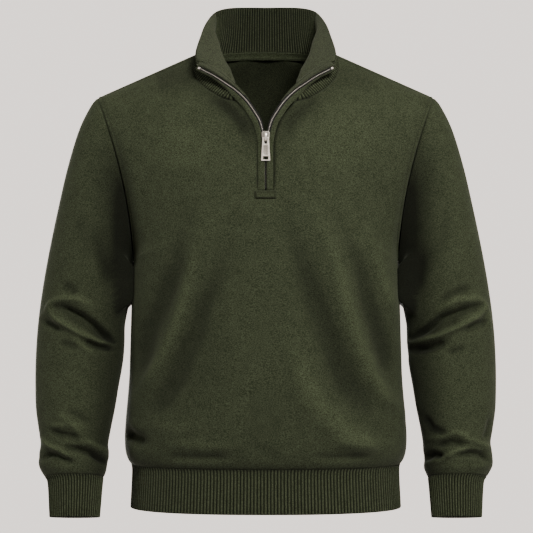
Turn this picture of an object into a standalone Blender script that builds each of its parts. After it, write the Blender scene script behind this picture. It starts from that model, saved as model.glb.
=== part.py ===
"""Quarter zip sweater, filled out as if it were worn, with the zip half open.

Units: the tables are in millimetres, the model is in metres. +Z is up and the front faces -Y.
The origin is the middle of the neck base, level with the high points of the shoulders.
Left and right are the wearer's, so the left sleeve is at +X.

Every cloth piece starts as a skin: rows of points on its outer face, worked out from the sizes
below. Pieces that are sewn together share the points of their seam, and so share the direction
in which their walls get their thickness. Ribs are raised on the outer points over a plain inside.
"""
import math

import bmesh
import bpy
import numpy as np
from mathutils import Matrix

MM = 0.001

# ---------------------------------------------------------------- cloth and seams
JERSEY_WALL = 2.2
RIB_WALL = 2.4
FACING_WALL = 1.3
TAPE_WALL = 1.0
SEAM_GAP = 0.3
RIB_HEIGHT = 1.2
RIB_TAPER = 0.35          # share of the rib's height left at a sewn edge
HEM_RIB_PITCH = 4.9
CUFF_RIB_PITCH = 4.4
COLLAR_RIB_PITCH = 4.0

# ---------------------------------------------------------------- body
# Below the armpit each level is a rounded oval.
BODY_SECTIONS = (
    # height, half width, front depth, back depth
    (-608.5, 202.0, 117.0, 101.0),
    (-598.0, 208.0, 123.0, 107.0),
    (-580.0, 211.5, 127.0, 111.0),
    (-556.0, 211.0, 128.5, 112.5),
    (-520.0, 208.0, 128.5, 112.0),
    (-484.0, 205.0, 127.5, 110.0),
    (-424.0, 203.0, 126.5, 108.0),
    (-364.0, 201.0, 126.0, 109.0),
    (-306.0, 198.0, 124.0, 111.0),
)
BODY_LEVELS = (-608.5, -599, -586, -566, -540, -510, -478, -446, -414, -386, -360, -333, -306)
ARMPIT_LIFT = 44.0        # how far a level that ends at the armpit rises towards the centre
OVAL_SQUARENESS = 2.35
COLUMNS = 9               # cells from the centre of a panel to its side

# ---------------------------------------------------------------- armhole
SHOULDER_POINT = (252.0, -61.0)
ARMPIT_POINT = (198.0, -306.0)
ARMHOLE_FRONT_DEPTH = 56.0
ARMHOLE_BACK_DEPTH = 62.0
ARMHOLE_SCOOP = 12.0
ARM_POINTS = 24           # points round the armhole and round every sleeve ring
ARM_HALF = ARM_POINTS // 2

# ---------------------------------------------------------------- zip line, left half
# The middle of the teeth, from the placket's foot to the top corner of the collar.
ZIP_LINE = (
    # x, y, z, reach of the tape towards the opening
    (0.9, -117.5, -203.5, 0.6),
    (0.9, -114.3, -176.0, 0.6),
    (0.9, -111.0, -146.0, 0.6),
    (1.5, -109.0, -130.0, 1.0),
    (4.7, -106.5, -115.5, 2.4),
    (9.0, -104.0, -101.3, 3.0),
    (16.8, -100.5, -88.0, 3.2),
    (24.8, -97.0, -76.1, 3.2),
    (35.0, -93.0, -64.6, 3.2),
    (46.3, -88.0, -54.5, 3.2),
    (56.1, -83.0, -47.7, 3.2),
    (74.8, -74.0, -34.8, 3.2),
    (99.2, -61.0, -21.4, 2.6),
)
ZIP_OPENING_ROW = 2.2     # the folded edges start to part here
ZIP_OPENING_ROWS = 1.2
ZIP_RISE_ROW = 3.3        # the tape comes out from behind them here
TAPE_HIDDEN_REACH = 7.0   # from the teeth to the tape's outer side, behind the folded edges
ZIP_HALF_WIDTH = 3.2
PLACKET_OUTER = 10.7      # from the teeth to the outer side of the folded edge
PLACKET_CREST = 1.2       # how far the folded edge stands out in its middle
PLACKET_TUCK = 3.0        # how far its outer side turns back on the collar
PLACKET_NARROWING = 2.2
PLACKET_EASE = 0.2        # more room where the edge bends beside the front
CORNER_SINK = 2.9         # the neck corner lies this far behind the folded edge's face
ROLL_WIDTH = 7.0
NECK_CORNER_ROW = 8.0     # where the zip line crosses the neck seam

# ---------------------------------------------------------------- neckline
# Above the armpit a panel's rows run from its centre edge to the armhole.
FRONT_LOWER_EDGE = (
    # x, y, z below the placket
    (0.0, -122.5, -240.0),
    (0.0, -119.2, -214.0),
)
PLACKET_ROWS = (0.0, 1.6, 3.0, 4.2, 5.8, NECK_CORNER_ROW)
FRONT_NECK = (
    # x, y, z from the neck corner up to the high point of the shoulder
    (66.0, -77.5, -64.5),
    (90.0, -57.5, -49.5),
    (107.0, -31.0, -27.0),
    (115.0, 0.0, 0.0),
)
BACK_CENTRE = (
    # x, y, z up the middle of the back
    (0.0, 112.5, -236.0),
    (0.0, 114.5, -199.0),
    (0.0, 115.5, -162.0),
    (0.0, 115.0, -125.0),
    (0.0, 112.0, -89.0),
    (0.0, 105.5, -54.0),
    (0.0, 95.0, -19.0),
    (0.0, 80.0, 15.0),
)
BACK_NECK = (
    # x, y, z from the centre back to the high point of the shoulder
    (33.0, 76.5, 14.0),
    (64.0, 64.5, 11.2),
    (92.0, 42.0, 7.0),
    (115.0, 0.0, 0.0),
)
CHEST_POWER = 2.5         # how late the chest turns towards the armhole
SHOULDER_POWER = 1.5

# ---------------------------------------------------------------- collar
# One row for each point of the neck seam, from the centre back to the zip.
COLLAR_SECTIONS = (
    # middle x, y, z, top x, y, z
    (0.0, 85.0, 49.0, 0.0, 81.0, 83.0),
    (32.0, 81.5, 49.0, 31.0, 79.5, 83.0),
    (58.5, 69.0, 47.0, 58.0, 70.0, 80.5),
    (77.0, 48.0, 43.0, 78.0, 53.0, 72.0),
    (82.0, 14.0, 33.0, 90.5, 20.0, 51.0),
    (74.5, -14.0, 12.0, 97.0, -7.0, 29.0),
    (65.5, -38.0, -10.0, 102.0, -29.0, 10.0),
    (54.5, -61.0, -33.0, 103.5, -46.0, -4.0),
    (58.0, -75.0, -46.0, 100.5, -56.0, -18.5),
)
COLLAR_ROWS = 4
COLLAR_SETBACK = 7.0      # how far its front edge stays behind the folded edge
FACING_START = 4          # the section where the plain facing begins, at the shoulder
FACING_GAP = 2.3
FACING_RISE = 0.23         # share of the first row by which it starts above the neck seam
FACING_LIFT = 2.4         # more room where the facing crosses the collar's front edge
ROLL_START = 0.3          # zip rows from the neck corner to the foot of the facing's roll
NECK_TAPE_WIDTH = 10.0
NECK_TAPE_TOP = 1.5       # the tape starts this far below the seam
NECK_TAPE_GAP = 1.5

# ---------------------------------------------------------------- sleeves, left one
SLEEVE_RINGS = (
    # outer x, z, inner x, z, half depth, y of the middle, forward tilt
    (263.0, -75.0, 200.6, -313.0, 59.0, 0.0, 0.00),
    (280.0, -110.0, 202.4, -325.0, 61.0, 0.0, 0.00),
    (297.0, -166.0, 203.4, -340.5, 62.0, 0.5, 0.00),
    (311.0, -226.0, 204.0, -355.0, 61.5, 1.5, 0.00),
    (322.5, -280.0, 205.4, -371.0, 60.5, 2.0, 0.00),
    (331.0, -325.0, 208.4, -386.0, 60.0, 2.5, 0.00),
    (336.5, -360.0, 211.0, -401.0, 59.5, 2.0, 0.00),
    (339.3, -381.0, 211.5, -412.0, 59.2, 1.2, 0.01),
    (341.4, -401.0, 211.5, -424.0, 58.8, 0.0, 0.03),
    (342.9, -421.0, 212.0, -437.0, 58.2, -1.8, 0.05),
    (343.9, -442.0, 213.0, -451.0, 57.5, -4.2, 0.08),
    (344.4, -466.0, 215.5, -469.0, 56.2, -7.8, 0.12),
    (344.0, -494.0, 219.5, -492.0, 54.5, -13.0, 0.16),
    (342.3, -526.0, 224.2, -523.0, 51.5, -20.5, 0.20),
    (337.5, -556.0, 230.0, -554.0, 48.5, -28.0, 0.22),
    (333.8, -576.0, 233.6, -576.0, 46.0, -33.0, 0.23),
    (335.8, -592.5, 233.2, -593.5, 45.0, -36.5, 0.23),
    (335.9, -609.0, 234.2, -609.5, 43.5, -40.0, 0.23),
    (327.0, -625.5, 239.4, -625.5, 38.0, -44.0, 0.23),
)
CUFF_RINGS = (
    # outer x, z, inner x, z, half depth, y of the middle, forward tilt
    (327.0, -625.5, 239.4, -625.5, 38.0, -44.0, 0.23),
    (321.8, -635.0, 241.2, -635.0, 33.5, -46.2, 0.21),
    (318.2, -682.5, 244.6, -682.5, 31.0, -56.5, 0.16),
)
SCOOP_RINGS = 4           # the armhole's scoop fades over this many rings

# ---------------------------------------------------------------- hem band
HEM_RINGS = (
    # height, half width, front depth, back depth
    (-608.5, 202.0, 117.0, 101.0),
    (-619.0, 199.6, 114.6, 98.6),
    (-672.5, 202.0, 117.0, 101.0),
)

# ---------------------------------------------------------------- folds
# A fold is a soft ridge (height above 0) or trough (below 0) along a line seen from the front.
FOLDS = {
    "front": (
        # x, z of one end, x, z of the other end, half width, height
        (91.0, -285.0, 150.0, -440.0, 17.0, 4.0),
        (150.0, -440.0, 205.0, -552.0, 16.0, 6.0),
        (128.0, -293.0, 190.0, -471.0, 17.0, -4.5),
        (45.0, -256.0, 97.0, -428.0, 20.0, -3.0),
        (97.0, -428.0, 180.0, -543.0, 18.0, -5.0),
        (39.0, -442.0, 105.0, -571.0, 20.0, 4.0),
        (-118.0, -299.0, -161.0, -443.0, 18.0, 4.0),
        (-161.0, -443.0, -204.0, -540.0, 17.0, 6.0),
        (-150.0, -300.0, -189.0, -457.0, 16.0, -4.0),
        (-100.0, -400.0, -160.0, -540.0, 19.0, -4.5),
        (-206.0, -578.0, -160.0, -586.0, 13.0, -4.0),
    ),
    "back": (
        (-60.0, -250.0, -140.0, -420.0, 22.0, -4.0),
        (70.0, -260.0, 150.0, -450.0, 22.0, -4.0),
        (-150.0, -430.0, -195.0, -560.0, 18.0, 5.0),
        (150.0, -420.0, 200.0, -555.0, 18.0, 5.0),
        (-90.0, -430.0, -40.0, -570.0, 22.0, 4.0),
        (80.0, -440.0, 110.0, -570.0, 20.0, -4.0),
        (20.0, -300.0, 10.0, -540.0, 24.0, -3.0),
    ),
    "sleeve_left": (
        (330.0, -376.0, 262.0, -398.0, 13.0, -6.0),
        (262.0, -398.0, 222.0, -420.0, 12.0, -7.0),
        (270.0, -430.0, 216.0, -428.0, 12.0, -5.0),
        (330.0, -404.0, 290.0, -412.0, 12.0, 4.0),
        (250.0, -576.0, 296.0, -580.0, 10.0, -4.0),
        (235.0, -594.0, 268.0, -602.0, 9.0, -3.0),
        (300.0, -597.0, 335.0, -598.0, 9.0, -4.0),
    ),
    "sleeve_right": (
        (-316.0, -378.0, -262.0, -386.0, 13.0, -6.0),
        (-262.0, -386.0, -222.0, -414.0, 12.0, -7.0),
        (-264.0, -430.0, -220.0, -438.0, 12.0, -5.0),
        (-332.0, -402.0, -286.0, -408.0, 12.0, 4.0),
        (-308.0, -562.0, -282.0, -568.0, 10.0, -4.0),
        (-290.0, -588.0, -254.0, -594.0, 9.0, -3.0),
        (-326.0, -592.0, -294.0, -602.0, 9.0, -4.0),
    ),
}
BACK_FOLD_SHIFT = 9.0     # folds on the back of a sleeve lie this much lower, and are softer
BACK_FOLD_SHARE = 0.7

# ---------------------------------------------------------------- placket bar, slider and pull tab
BAR_WIDTH = 32.0
BAR_TOP = -203.8
BAR_HEIGHT = 12.5
BAR_WALL = 1.6

SLIDER_TOP = -118.0
SLIDER_HEIGHT = 15.0
SLIDER_WIDTH = 12.0
SLIDER_NECK = 8.4         # width at its lower end
SLIDER_BACK = -110.9      # y of the front plate's rear face
SLIDER_PLATE = 2.4
SLIDER_POST_WIDTH = 2.0
SLIDER_POST_HEIGHT = 3.0
REAR_PLATE_FACE = -104.1  # y of the rear plate's front face
REAR_PLATE = 1.4
REAR_PLATE_WIDTH = 9.0
REAR_PLATE_HEIGHT = 9.0
BRIDGE_WIDTH = 3.0
BRIDGE_WALL = 1.2
BRIDGE_REACH = 5.2        # from the front plate to the outside of the bridge
BRIDGE_TOP = -119.0
BRIDGE_BOTTOM = -132.6

TAB_AXIS_Y = -115.6
TAB_AXIS_Z = -128.0
TAB_THICKNESS = 1.6
TAB_BAR = 1.1             # from the axis to the tab's upper end
TAB_LENGTH = 33.0         # from the axis to the tab's lower end
TAB_TOP_WIDTH = 9.4
TAB_BOTTOM_WIDTH = 13.4
TAB_SLOT = (-1.1, -8.4, 4.4)      # upper end, lower end, width
TAB_WINDOW = (-27.4, -31.4, 7.6)  # upper end, lower end, width
TAB_PANEL = (-10.4, -25.0, 7.0)   # upper end, lower end, width of the sunk panel
TAB_PANEL_DEPTH = 0.35

# ---------------------------------------------------------------- colours
KNIT_GREEN = (0.045, 0.055, 0.022, 1.0)
RIB_GREEN = (0.038, 0.047, 0.019, 1.0)
TAPE_BLACK = (0.008, 0.008, 0.008, 1.0)
ZIP_METAL = (0.62, 0.60, 0.56, 1.0)

SMOOTH_STEPS = 160
SHARP_ANGLE = 25.0


# ---------------------------------------------------------------- curves
def point_on(table, row):
    """Point on the smooth curve through a table's rows, at a row number that may be a fraction."""
    rows = np.asarray(table, float)
    last = len(rows) - 1
    k = min(int(row), last - 1)
    f = row - k
    here, there = rows[k], rows[k + 1]
    before = rows[k - 1] if k > 0 else 2 * here - there
    after = rows[k + 2] if k + 2 <= last else 2 * there - here
    return 0.5 * (
        2 * here
        + (there - before) * f
        + (2 * before - 5 * here + 4 * there - after) * f ** 2
        + (3 * here - before - 3 * there + after) * f ** 3
    )


def section_at(table, height):
    """Row of a table of heights, eased between its neighbours."""
    heights = [row[0] for row in table]
    order = np.argsort(heights)
    where = np.interp(height, np.array(heights)[order], np.arange(len(heights))[order])
    return point_on(table, where)


def evenly(points, cells):
    """The same line with its points evenly spaced."""
    steps = np.linalg.norm(np.diff(points, axis=0), axis=1)
    run = np.concatenate(([0.0], np.cumsum(steps)))
    wanted = np.linspace(0.0, run[-1], cells + 1)
    return np.stack([np.interp(wanted, run, points[:, k]) for k in range(3)], axis=1)


def unit(vectors):
    """Vectors of length one."""
    return vectors / np.maximum(np.linalg.norm(vectors, axis=-1, keepdims=True), 1e-12)


def ease(value):
    """Smooth step from 0 to 1."""
    value = np.clip(value, 0.0, 1.0)
    return value * value * (3 - 2 * value)


# ---------------------------------------------------------------- body skins
def armhole(front):
    """Points of the left armhole, from the armpit up to the shoulder point."""
    angle = np.linspace(math.pi, 0.0, ARM_HALF + 1)
    return arm_ring(angle if front else -angle, armhole_ring(), ARMHOLE_SCOOP)


def armhole_ring():
    """The armhole written as a sleeve ring."""
    return (*SHOULDER_POINT, *ARMPIT_POINT, ARMHOLE_FRONT_DEPTH, 0.0, 0.0)


def arm_ring(angle, ring, scoop, back_depth=ARMHOLE_BACK_DEPTH):
    """Points of a ring: angle 0 is its outer side, 90 degrees its front, 180 its inner side."""
    outer_x, outer_z, inner_x, inner_z, depth, middle, tilt = ring
    c, s = np.cos(angle), np.sin(angle)
    reach = np.where(s > 0, depth, back_depth) * s
    x = (outer_x + inner_x) / 2 + c * (outer_x - inner_x) / 2 - scoop * s * s
    z = (outer_z + inner_z) / 2 + c * (outer_z - inner_z) / 2 + tilt * reach
    return np.stack([x, middle - reach, z], axis=1)


def panel_row(centre, side, openness, power, climb):
    """Points of a panel from its centre edge to its side.

    Openness 0 is a quarter of an oval, which meets the side seam square to the front.
    Openness 1 falls away late and meets the armhole at a slant.
    """
    turn = np.linspace(0.0, math.pi / 2, SMOOTH_STEPS)
    across = np.sin(turn) ** (2 / OVAL_SQUARENESS)
    fall = 1 - np.cos(turn) ** (2 / OVAL_SQUARENESS)
    oval = centre + (side - centre) * np.stack([across, fall, across ** climb], axis=1)
    run = np.linspace(0.0, 1.0, SMOOTH_STEPS)
    slant = centre + (side - centre) * np.stack([run, run ** power, run ** climb], axis=1)
    return evenly(oval, COLUMNS) * (1 - openness) + evenly(slant, COLUMNS) * openness


def zip_offset(row, offset):
    """Point beside the zip line in the front view: above 0 is on the cloth's side."""
    here = point_on(ZIP_LINE, row)
    last = len(ZIP_LINE) - 1
    along = point_on(ZIP_LINE, min(row + 0.1, last)) - point_on(ZIP_LINE, max(row - 0.1, 0.0))
    out = np.array([along[2], 0.0, -along[0]]) / math.hypot(along[0], along[2])
    return here[:3] + out * offset


def front_edge():
    """Centre edge of the left front above the armpit level: placket, then neckline."""
    placket = [zip_offset(row, PLACKET_OUTER + SEAM_GAP) for row in PLACKET_ROWS[:-1]]
    return np.array([*FRONT_LOWER_EDGE, *placket, neck_corner(), *FRONT_NECK])


def neck_corner():
    """Where the neck seam meets the zip, sunk behind the folded edge."""
    return zip_offset(NECK_CORNER_ROW, PLACKET_OUTER + SEAM_GAP) + np.array([0.0, CORNER_SINK, 0.0])


def back_edge():
    """Centre edge of the left back above the armpit level, then its neckline."""
    return np.array([*BACK_CENTRE, *BACK_NECK])


def panel(front):
    """Left half of the front or the back, rows from the hem to the shoulder seam."""
    sign = -1.0 if front else 1.0
    rows = []
    for level in BODY_LEVELS:
        _, half_width, front_depth, back_depth = section_at(BODY_SECTIONS, level)
        share = ease((level - BODY_LEVELS[0]) / (BODY_LEVELS[-1] - BODY_LEVELS[0]))
        depth = front_depth if front else back_depth
        centre = np.array([0.0, sign * depth, level + ARMPIT_LIFT * share])
        side = np.array([half_width, 0.0, level])
        rows.append(panel_row(centre, side, 0.0, CHEST_POWER, 2.0))
    edge = front_edge() if front else back_edge()
    arm = armhole(front)
    for k in range(1, ARM_HALF + 1):
        openness = ease(k / 4.0)
        up = k / ARM_HALF
        power = CHEST_POWER + (SHOULDER_POWER - CHEST_POWER) * up
        climb = 2.0 - ease((up - 0.2) / 0.6)
        rows.append(panel_row(edge[k - 1], arm[k], openness, power, climb))
    return np.array(rows)


def mirrored(patch):
    """The other side of a patch, with its faces still pointing out."""
    return patch[:, ::-1] * np.array([-1.0, 1.0, 1.0])


# ---------------------------------------------------------------- folds
def line_distance(x, z, fold):
    """Distance from a fold's line, and how far along it a point lies (0 to 1)."""
    start = np.array(fold[:2])
    end = np.array(fold[2:4])
    span = end - start
    share = ((x - start[0]) * span[0] + (z - start[1]) * span[1]) / (span @ span)
    held = np.clip(share, 0.0, 1.0)
    return np.hypot(x - start[0] - held * span[0], z - start[1] - held * span[1])


def fold_height(points, folds, shift=0.0):
    """Height of all the folds at each point."""
    height = np.zeros(points.shape[:-1])
    for fold in folds:
        away = line_distance(points[..., 0], points[..., 2] + shift, fold)
        height += fold[5] * np.exp(-((away / fold[4]) ** 2))
    return height


def patch_normals(patch, closed=False):
    """Unit normals at the points of a patch."""
    if closed:
        around = np.roll(patch, -1, axis=1) - np.roll(patch, 1, axis=1)
    else:
        around = np.gradient(patch, axis=1)
    up = np.gradient(patch, axis=0)
    return unit(np.cross(around, up))


def edge_fade(patch, rows_only=False):
    """0 on the edges of a patch and 1 from two cells inside them."""
    rows, columns = patch.shape[:2]
    r = np.arange(rows)
    fade = ease(np.minimum(r, rows - 1 - r) / 2.0)[:, None] * np.ones((1, columns))
    if rows_only:
        return fade
    c = np.arange(columns)
    return fade * ease(np.minimum(c, columns - 1 - c) / 2.0)[None, :]


def folded_halves(half, folds):
    """Right and left halves of a panel with its folds raised."""
    right = mirrored(half)
    both = np.concatenate([right, half[:, 1:]], axis=1)
    height = fold_height(both, folds) * edge_fade(both)
    centre = half.shape[1] - 1
    height[-ARM_HALF:, centre - 1:centre + 2] = 0.0
    raised = patch_normals(both) * height[..., None]
    return right + raised[:, :centre + 1], half + raised[:, centre:]


def folded_sleeve(patch, folds):
    """A sleeve with its folds, on the front as listed and lower and softer on the back."""
    middle = patch[..., 1].mean(axis=1, keepdims=True)
    depth = np.ptp(patch[..., 1], axis=1)[:, None] / 2
    front = ease(0.5 - (patch[..., 1] - middle) / depth)
    height = fold_height(patch, folds) * front
    height += fold_height(patch, folds, BACK_FOLD_SHIFT) * BACK_FOLD_SHARE * (1 - front)
    height *= edge_fade(patch, rows_only=True)
    return patch + patch_normals(patch, closed=True) * height[..., None]


# ---------------------------------------------------------------- sleeve and band skins
def sleeve(folds):
    """Left sleeve, rings from the armhole to the cuff seam."""
    angle = np.linspace(0.0, -2 * math.pi, ARM_POINTS, endpoint=False)
    rings = [arm_ring(angle, armhole_ring(), ARMHOLE_SCOOP)]
    for k, ring in enumerate(SLEEVE_RINGS, start=1):
        scoop = ARMHOLE_SCOOP * (1 - ease(k / SCOOP_RINGS))
        rings.append(arm_ring(angle, ring, scoop, back_depth=ring[4]))
    return folded_sleeve(np.array(rings[::-1]), folds)


def cuff():
    """Left cuff, rings from its lower edge to its seam."""
    angle = np.linspace(0.0, -2 * math.pi, ARM_POINTS, endpoint=False)
    return np.array([arm_ring(angle, ring, 0.0, back_depth=ring[4]) for ring in CUFF_RINGS[::-1]])


def hem_band():
    """Hem band, rings from its lower edge to its seam, round the whole body."""
    rings = []
    for height, half_width, front_depth, back_depth in HEM_RINGS[::-1]:
        quarters = []
        for depth in (-front_depth, back_depth):
            centre = np.array([0.0, depth, height])
            side = np.array([half_width, 0.0, height])
            quarters.append(panel_row(centre, side, 0.0, CHEST_POWER, 2.0))
        front, back = quarters
        flip = np.array([-1.0, 1.0, 1.0])
        rings.append(np.concatenate([front[:-1], back[:0:-1], back[:-1] * flip, front[:0:-1] * flip]))
    return np.array(rings)


def neck_seam():
    """Points of the left half of the neck seam, from the centre back to the zip."""
    front = [neck_corner(), *FRONT_NECK[:-1]]
    return np.array([BACK_CENTRE[-1], *BACK_NECK, *front[::-1]])


def collar():
    """Left half of the collar, rows from the neck seam to the top edge, back to front."""
    seam = neck_seam()
    columns = 2 * (len(seam) - 1)
    patch = np.zeros((COLLAR_ROWS + 1, columns + 1, 3))
    for c in range(columns + 1):
        k = min(c // 2, len(seam) - 2)
        foot = seam[k] + (seam[k + 1] - seam[k]) * (c / 2 - k)
        section = point_on(COLLAR_SECTIONS, c / 2)
        middle, top = section[:3], section[3:]
        for r in range(COLLAR_ROWS + 1):
            t = r / COLLAR_ROWS
            patch[r, c] = (
                foot * 2 * (t - 0.5) * (t - 1) - middle * 4 * t * (t - 1) + top * 2 * t * (t - 0.5)
            )
    patch[1:, -1] += unit(patch[1:, -2] - patch[1:, -1]) * COLLAR_SETBACK
    return patch


# ---------------------------------------------------------------- walls
def key_of(point):
    """Name of a place, so that shared seam points can be found."""
    return tuple(np.round(np.asarray(point) * 100).astype(int))


def seam_directions(patches):
    """Sum of the normals of all the sewn skins at each place."""
    total = {}
    for patch, closed in patches:
        normals = patch_normals(patch, closed)
        for r in range(patch.shape[0]):
            for c in range(patch.shape[1]):
                key = key_of(patch[r, c])
                total[key] = total.get(key, np.zeros(3)) + normals[r, c]
    return total


def wall_directions(patch, closed, shared):
    """Direction of the wall at each point, longer where two pieces meet at an angle."""
    normals = patch_normals(patch, closed)
    out = normals.copy()
    for r in range(patch.shape[0]):
        for c in range(patch.shape[1]):
            both = shared.get(key_of(patch[r, c]))
            if both is None:
                continue
            along = unit(both)
            out[r, c] = along / max(float(along @ normals[r, c]), 0.55)
    return out


def drawn_in(patch, closed, edges=("first_row", "last_row", "first_column", "last_column"),
             pull=SEAM_GAP / 2):
    """The patch with its edges drawn in, by half of the seam's gap unless told otherwise."""
    patch = patch.copy()
    if "first_row" in edges:
        patch[0] += unit(patch[1] - patch[0]) * pull
    if "last_row" in edges:
        patch[-1] += unit(patch[-2] - patch[-1]) * pull
    if not closed and "first_column" in edges:
        patch[:, 0] += unit(patch[:, 1] - patch[:, 0]) * pull
    if not closed and "last_column" in edges:
        patch[:, -1] += unit(patch[:, -2] - patch[:, -1]) * pull
    return patch


def add_wall(bm, patch, directions, thickness, closed=False, ribs=None, rims=(True, True, True, True)):
    """Add a wall to a bmesh: outer points, with ribs if asked, over a plain inside.

    ribs is (pitch, share of the height on each row). rims says which of the first row, last row,
    first column and last column get a rim.
    """
    rows, columns = patch.shape[:2]
    cells = columns if closed else columns - 1
    inner = [[bm.verts.new((patch[r, c] - directions[r, c] * thickness) * MM) for c in range(columns)]
             for r in range(rows)]
    outer = []
    starts = []
    for r in range(rows):
        line = []
        starts = []
        for c in range(cells):
            n = (c + 1) % columns
            starts.append(len(line))
            width = np.linalg.norm(patch[:, n] - patch[:, c], axis=1).max()
            steps = 1 if ribs is None else 2 * max(1, round(width / ribs[0]))
            for k in range(steps):
                f = k / steps
                point = patch[r, c] * (1 - f) + patch[r, n] * f
                if ribs is not None and k % 2:
                    lean = directions[r, c] * (1 - f) + directions[r, n] * f
                    point = point + unit(lean) * RIB_HEIGHT * ribs[1][r]
                line.append(bm.verts.new(point * MM))
        starts.append(len(line))
        if not closed:
            line.append(bm.verts.new(patch[r, -1] * MM))
        outer.append(line)
    total = len(outer[0])
    for r in range(rows - 1):
        for k in range(total if closed else total - 1):
            n = (k + 1) % total
            bm.faces.new((outer[r][k], outer[r][n], outer[r + 1][n], outer[r + 1][k]))
        for c in range(cells):
            n = (c + 1) % columns
            bm.faces.new((inner[r][n], inner[r][c], inner[r + 1][c], inner[r + 1][n]))
    for c in range(cells):
        n = (c + 1) % columns
        span = [k % total for k in range(starts[c], starts[c + 1] + 1)]
        if rims[0]:
            bm.faces.new([outer[0][k] for k in reversed(span)] + [inner[0][c], inner[0][n]])
        if rims[1]:
            bm.faces.new([outer[-1][k] for k in span] + [inner[-1][n], inner[-1][c]])
    if not closed:
        for r in range(rows - 1):
            if rims[2] is True or (rims[2] and r >= rims[2] - 1):
                bm.faces.new((outer[r][0], outer[r + 1][0], inner[r + 1][0], inner[r][0]))
            if rims[3] is True or (rims[3] and r >= rims[3] - 1):
                bm.faces.new((outer[r + 1][-1], outer[r][-1], inner[r][-1], inner[r + 1][-1]))


def finished(bm, name, material, group):
    """Turn a bmesh into a named object with its material."""
    bmesh.ops.remove_doubles(bm, verts=bm.verts, dist=1e-6)
    bmesh.ops.triangulate(bm, faces=bm.faces, quad_method="SHORT_EDGE", ngon_method="BEAUTY")
    bmesh.ops.recalc_face_normals(bm, faces=bm.faces)
    mesh = bpy.data.meshes.new(name)
    bm.to_mesh(mesh)
    bm.free()
    mesh.materials.append(material)
    mesh.shade_smooth()
    mesh.set_sharp_from_angle(angle=math.radians(SHARP_ANGLE))
    obj = bpy.data.objects.new(name, mesh)
    group.objects.link(obj)
    return obj


# ---------------------------------------------------------------- cloth pieces
def make_panel(name, halves, joined_rows, shared, material, group):
    """The front or back: two halves that share the centre line up to the neckline or placket."""
    bm = bmesh.new()
    for k, piece in enumerate(halves):
        first = k == 0
        directions = wall_directions(piece, False, shared)
        centre_column = -1 if first else 0
        for r in range(joined_rows):
            directions[r, centre_column] = unit(shared[key_of(piece[r, centre_column])])
        outer_edge = "first_column" if first else "last_column"
        drawn = drawn_in(piece, False, ("first_row", "last_row", outer_edge))
        rims = (True, True, True, joined_rows) if first else (True, True, joined_rows, True)
        add_wall(bm, drawn, directions, JERSEY_WALL, rims=rims)
    return finished(bm, name, material, group)


def make_tube(name, patch, thickness, shared, material, group, ribs=None, level_rim=False):
    """A sleeve, cuff or band: a closed wall, open at both ends."""
    bm = bmesh.new()
    directions = wall_directions(patch, True, shared)
    if level_rim:
        directions[0, :, 2] = 0.0
        directions[0] = unit(directions[0])
    add_wall(bm, drawn_in(patch, True), directions, thickness, closed=True, ribs=ribs)
    return finished(bm, name, material, group)


def rib_shares(rows, first, last):
    """Share of the rib's height on each row, lower at a sewn edge."""
    shares = [1.0] * rows
    if first:
        shares[0] = RIB_TAPER
    if last:
        shares[-1] = RIB_TAPER
    return shares


def make_strip(name, patch, thickness, material, group):
    """A narrow open wall, such as a folded edge or a tape."""
    bm = bmesh.new()
    add_wall(bm, patch, patch_normals(patch), thickness)
    return finished(bm, name, material, group)


def sided(patch, left):
    """A patch of the left side, or its mirror image for the right side."""
    return patch if left else mirrored(patch)


def opening(row):
    """0 where the folded edges meet over the zip, 1 where they lie beside it."""
    return ease((row - ZIP_OPENING_ROW) / ZIP_OPENING_ROWS)


def outer_edge(row):
    """Outer side of the left folded edge, straight between the front panel's rows."""
    k = min(sum(1 for start in PLACKET_ROWS if start <= row), len(PLACKET_ROWS) - 1)
    low, high = PLACKET_ROWS[k - 1], PLACKET_ROWS[k]
    f = (row - low) / (high - low)
    side = PLACKET_OUTER - PLACKET_EASE
    return zip_offset(low, side) * (1 - f) + zip_offset(high, side) * f


def placket_patch():
    """Outer face of the left folded edge that frames the zip, from the bar to the collar's corner."""
    rows = []
    for k in range(2 * len(ZIP_LINE) - 1):
        row = k / 2
        opened = opening(row)
        flap = ease((row - NECK_CORNER_ROW) / 2.0)
        inner = zip_offset(row, opened * (ZIP_HALF_WIDTH + SEAM_GAP))
        outer = outer_edge(row) if flap == 0.0 else zip_offset(row, PLACKET_OUTER - flap * PLACKET_NARROWING)
        line = []
        for f in (0.0, 0.35, 0.75, 1.0):
            point = inner + (outer - inner) * f
            point[1] += -PLACKET_CREST * math.sin(math.pi * f) + flap * PLACKET_TUCK * f * f
            line.append(point)
        rows.append(line)
    return np.array(rows)


def zip_tape_patch():
    """Outer face of the left zip tape: behind the folded edges where the zip is closed."""
    rows = []
    for k in range(2 * len(ZIP_LINE) - 1):
        row = k / 2
        reach = point_on(ZIP_LINE, row)[3]
        sunk = (1 - ease(row - ZIP_RISE_ROW)) * (JERSEY_WALL + SEAM_GAP + 0.1)
        end = TAPE_HIDDEN_REACH + (ZIP_HALF_WIDTH - TAPE_HIDDEN_REACH) * opening(row)
        line = []
        for f in (0.0, 0.5, 1.0):
            point = zip_offset(row, -reach + (end + reach) * f)
            point[1] += sunk
            line.append(point)
        rows.append(line)
    return np.array(rows)


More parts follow.
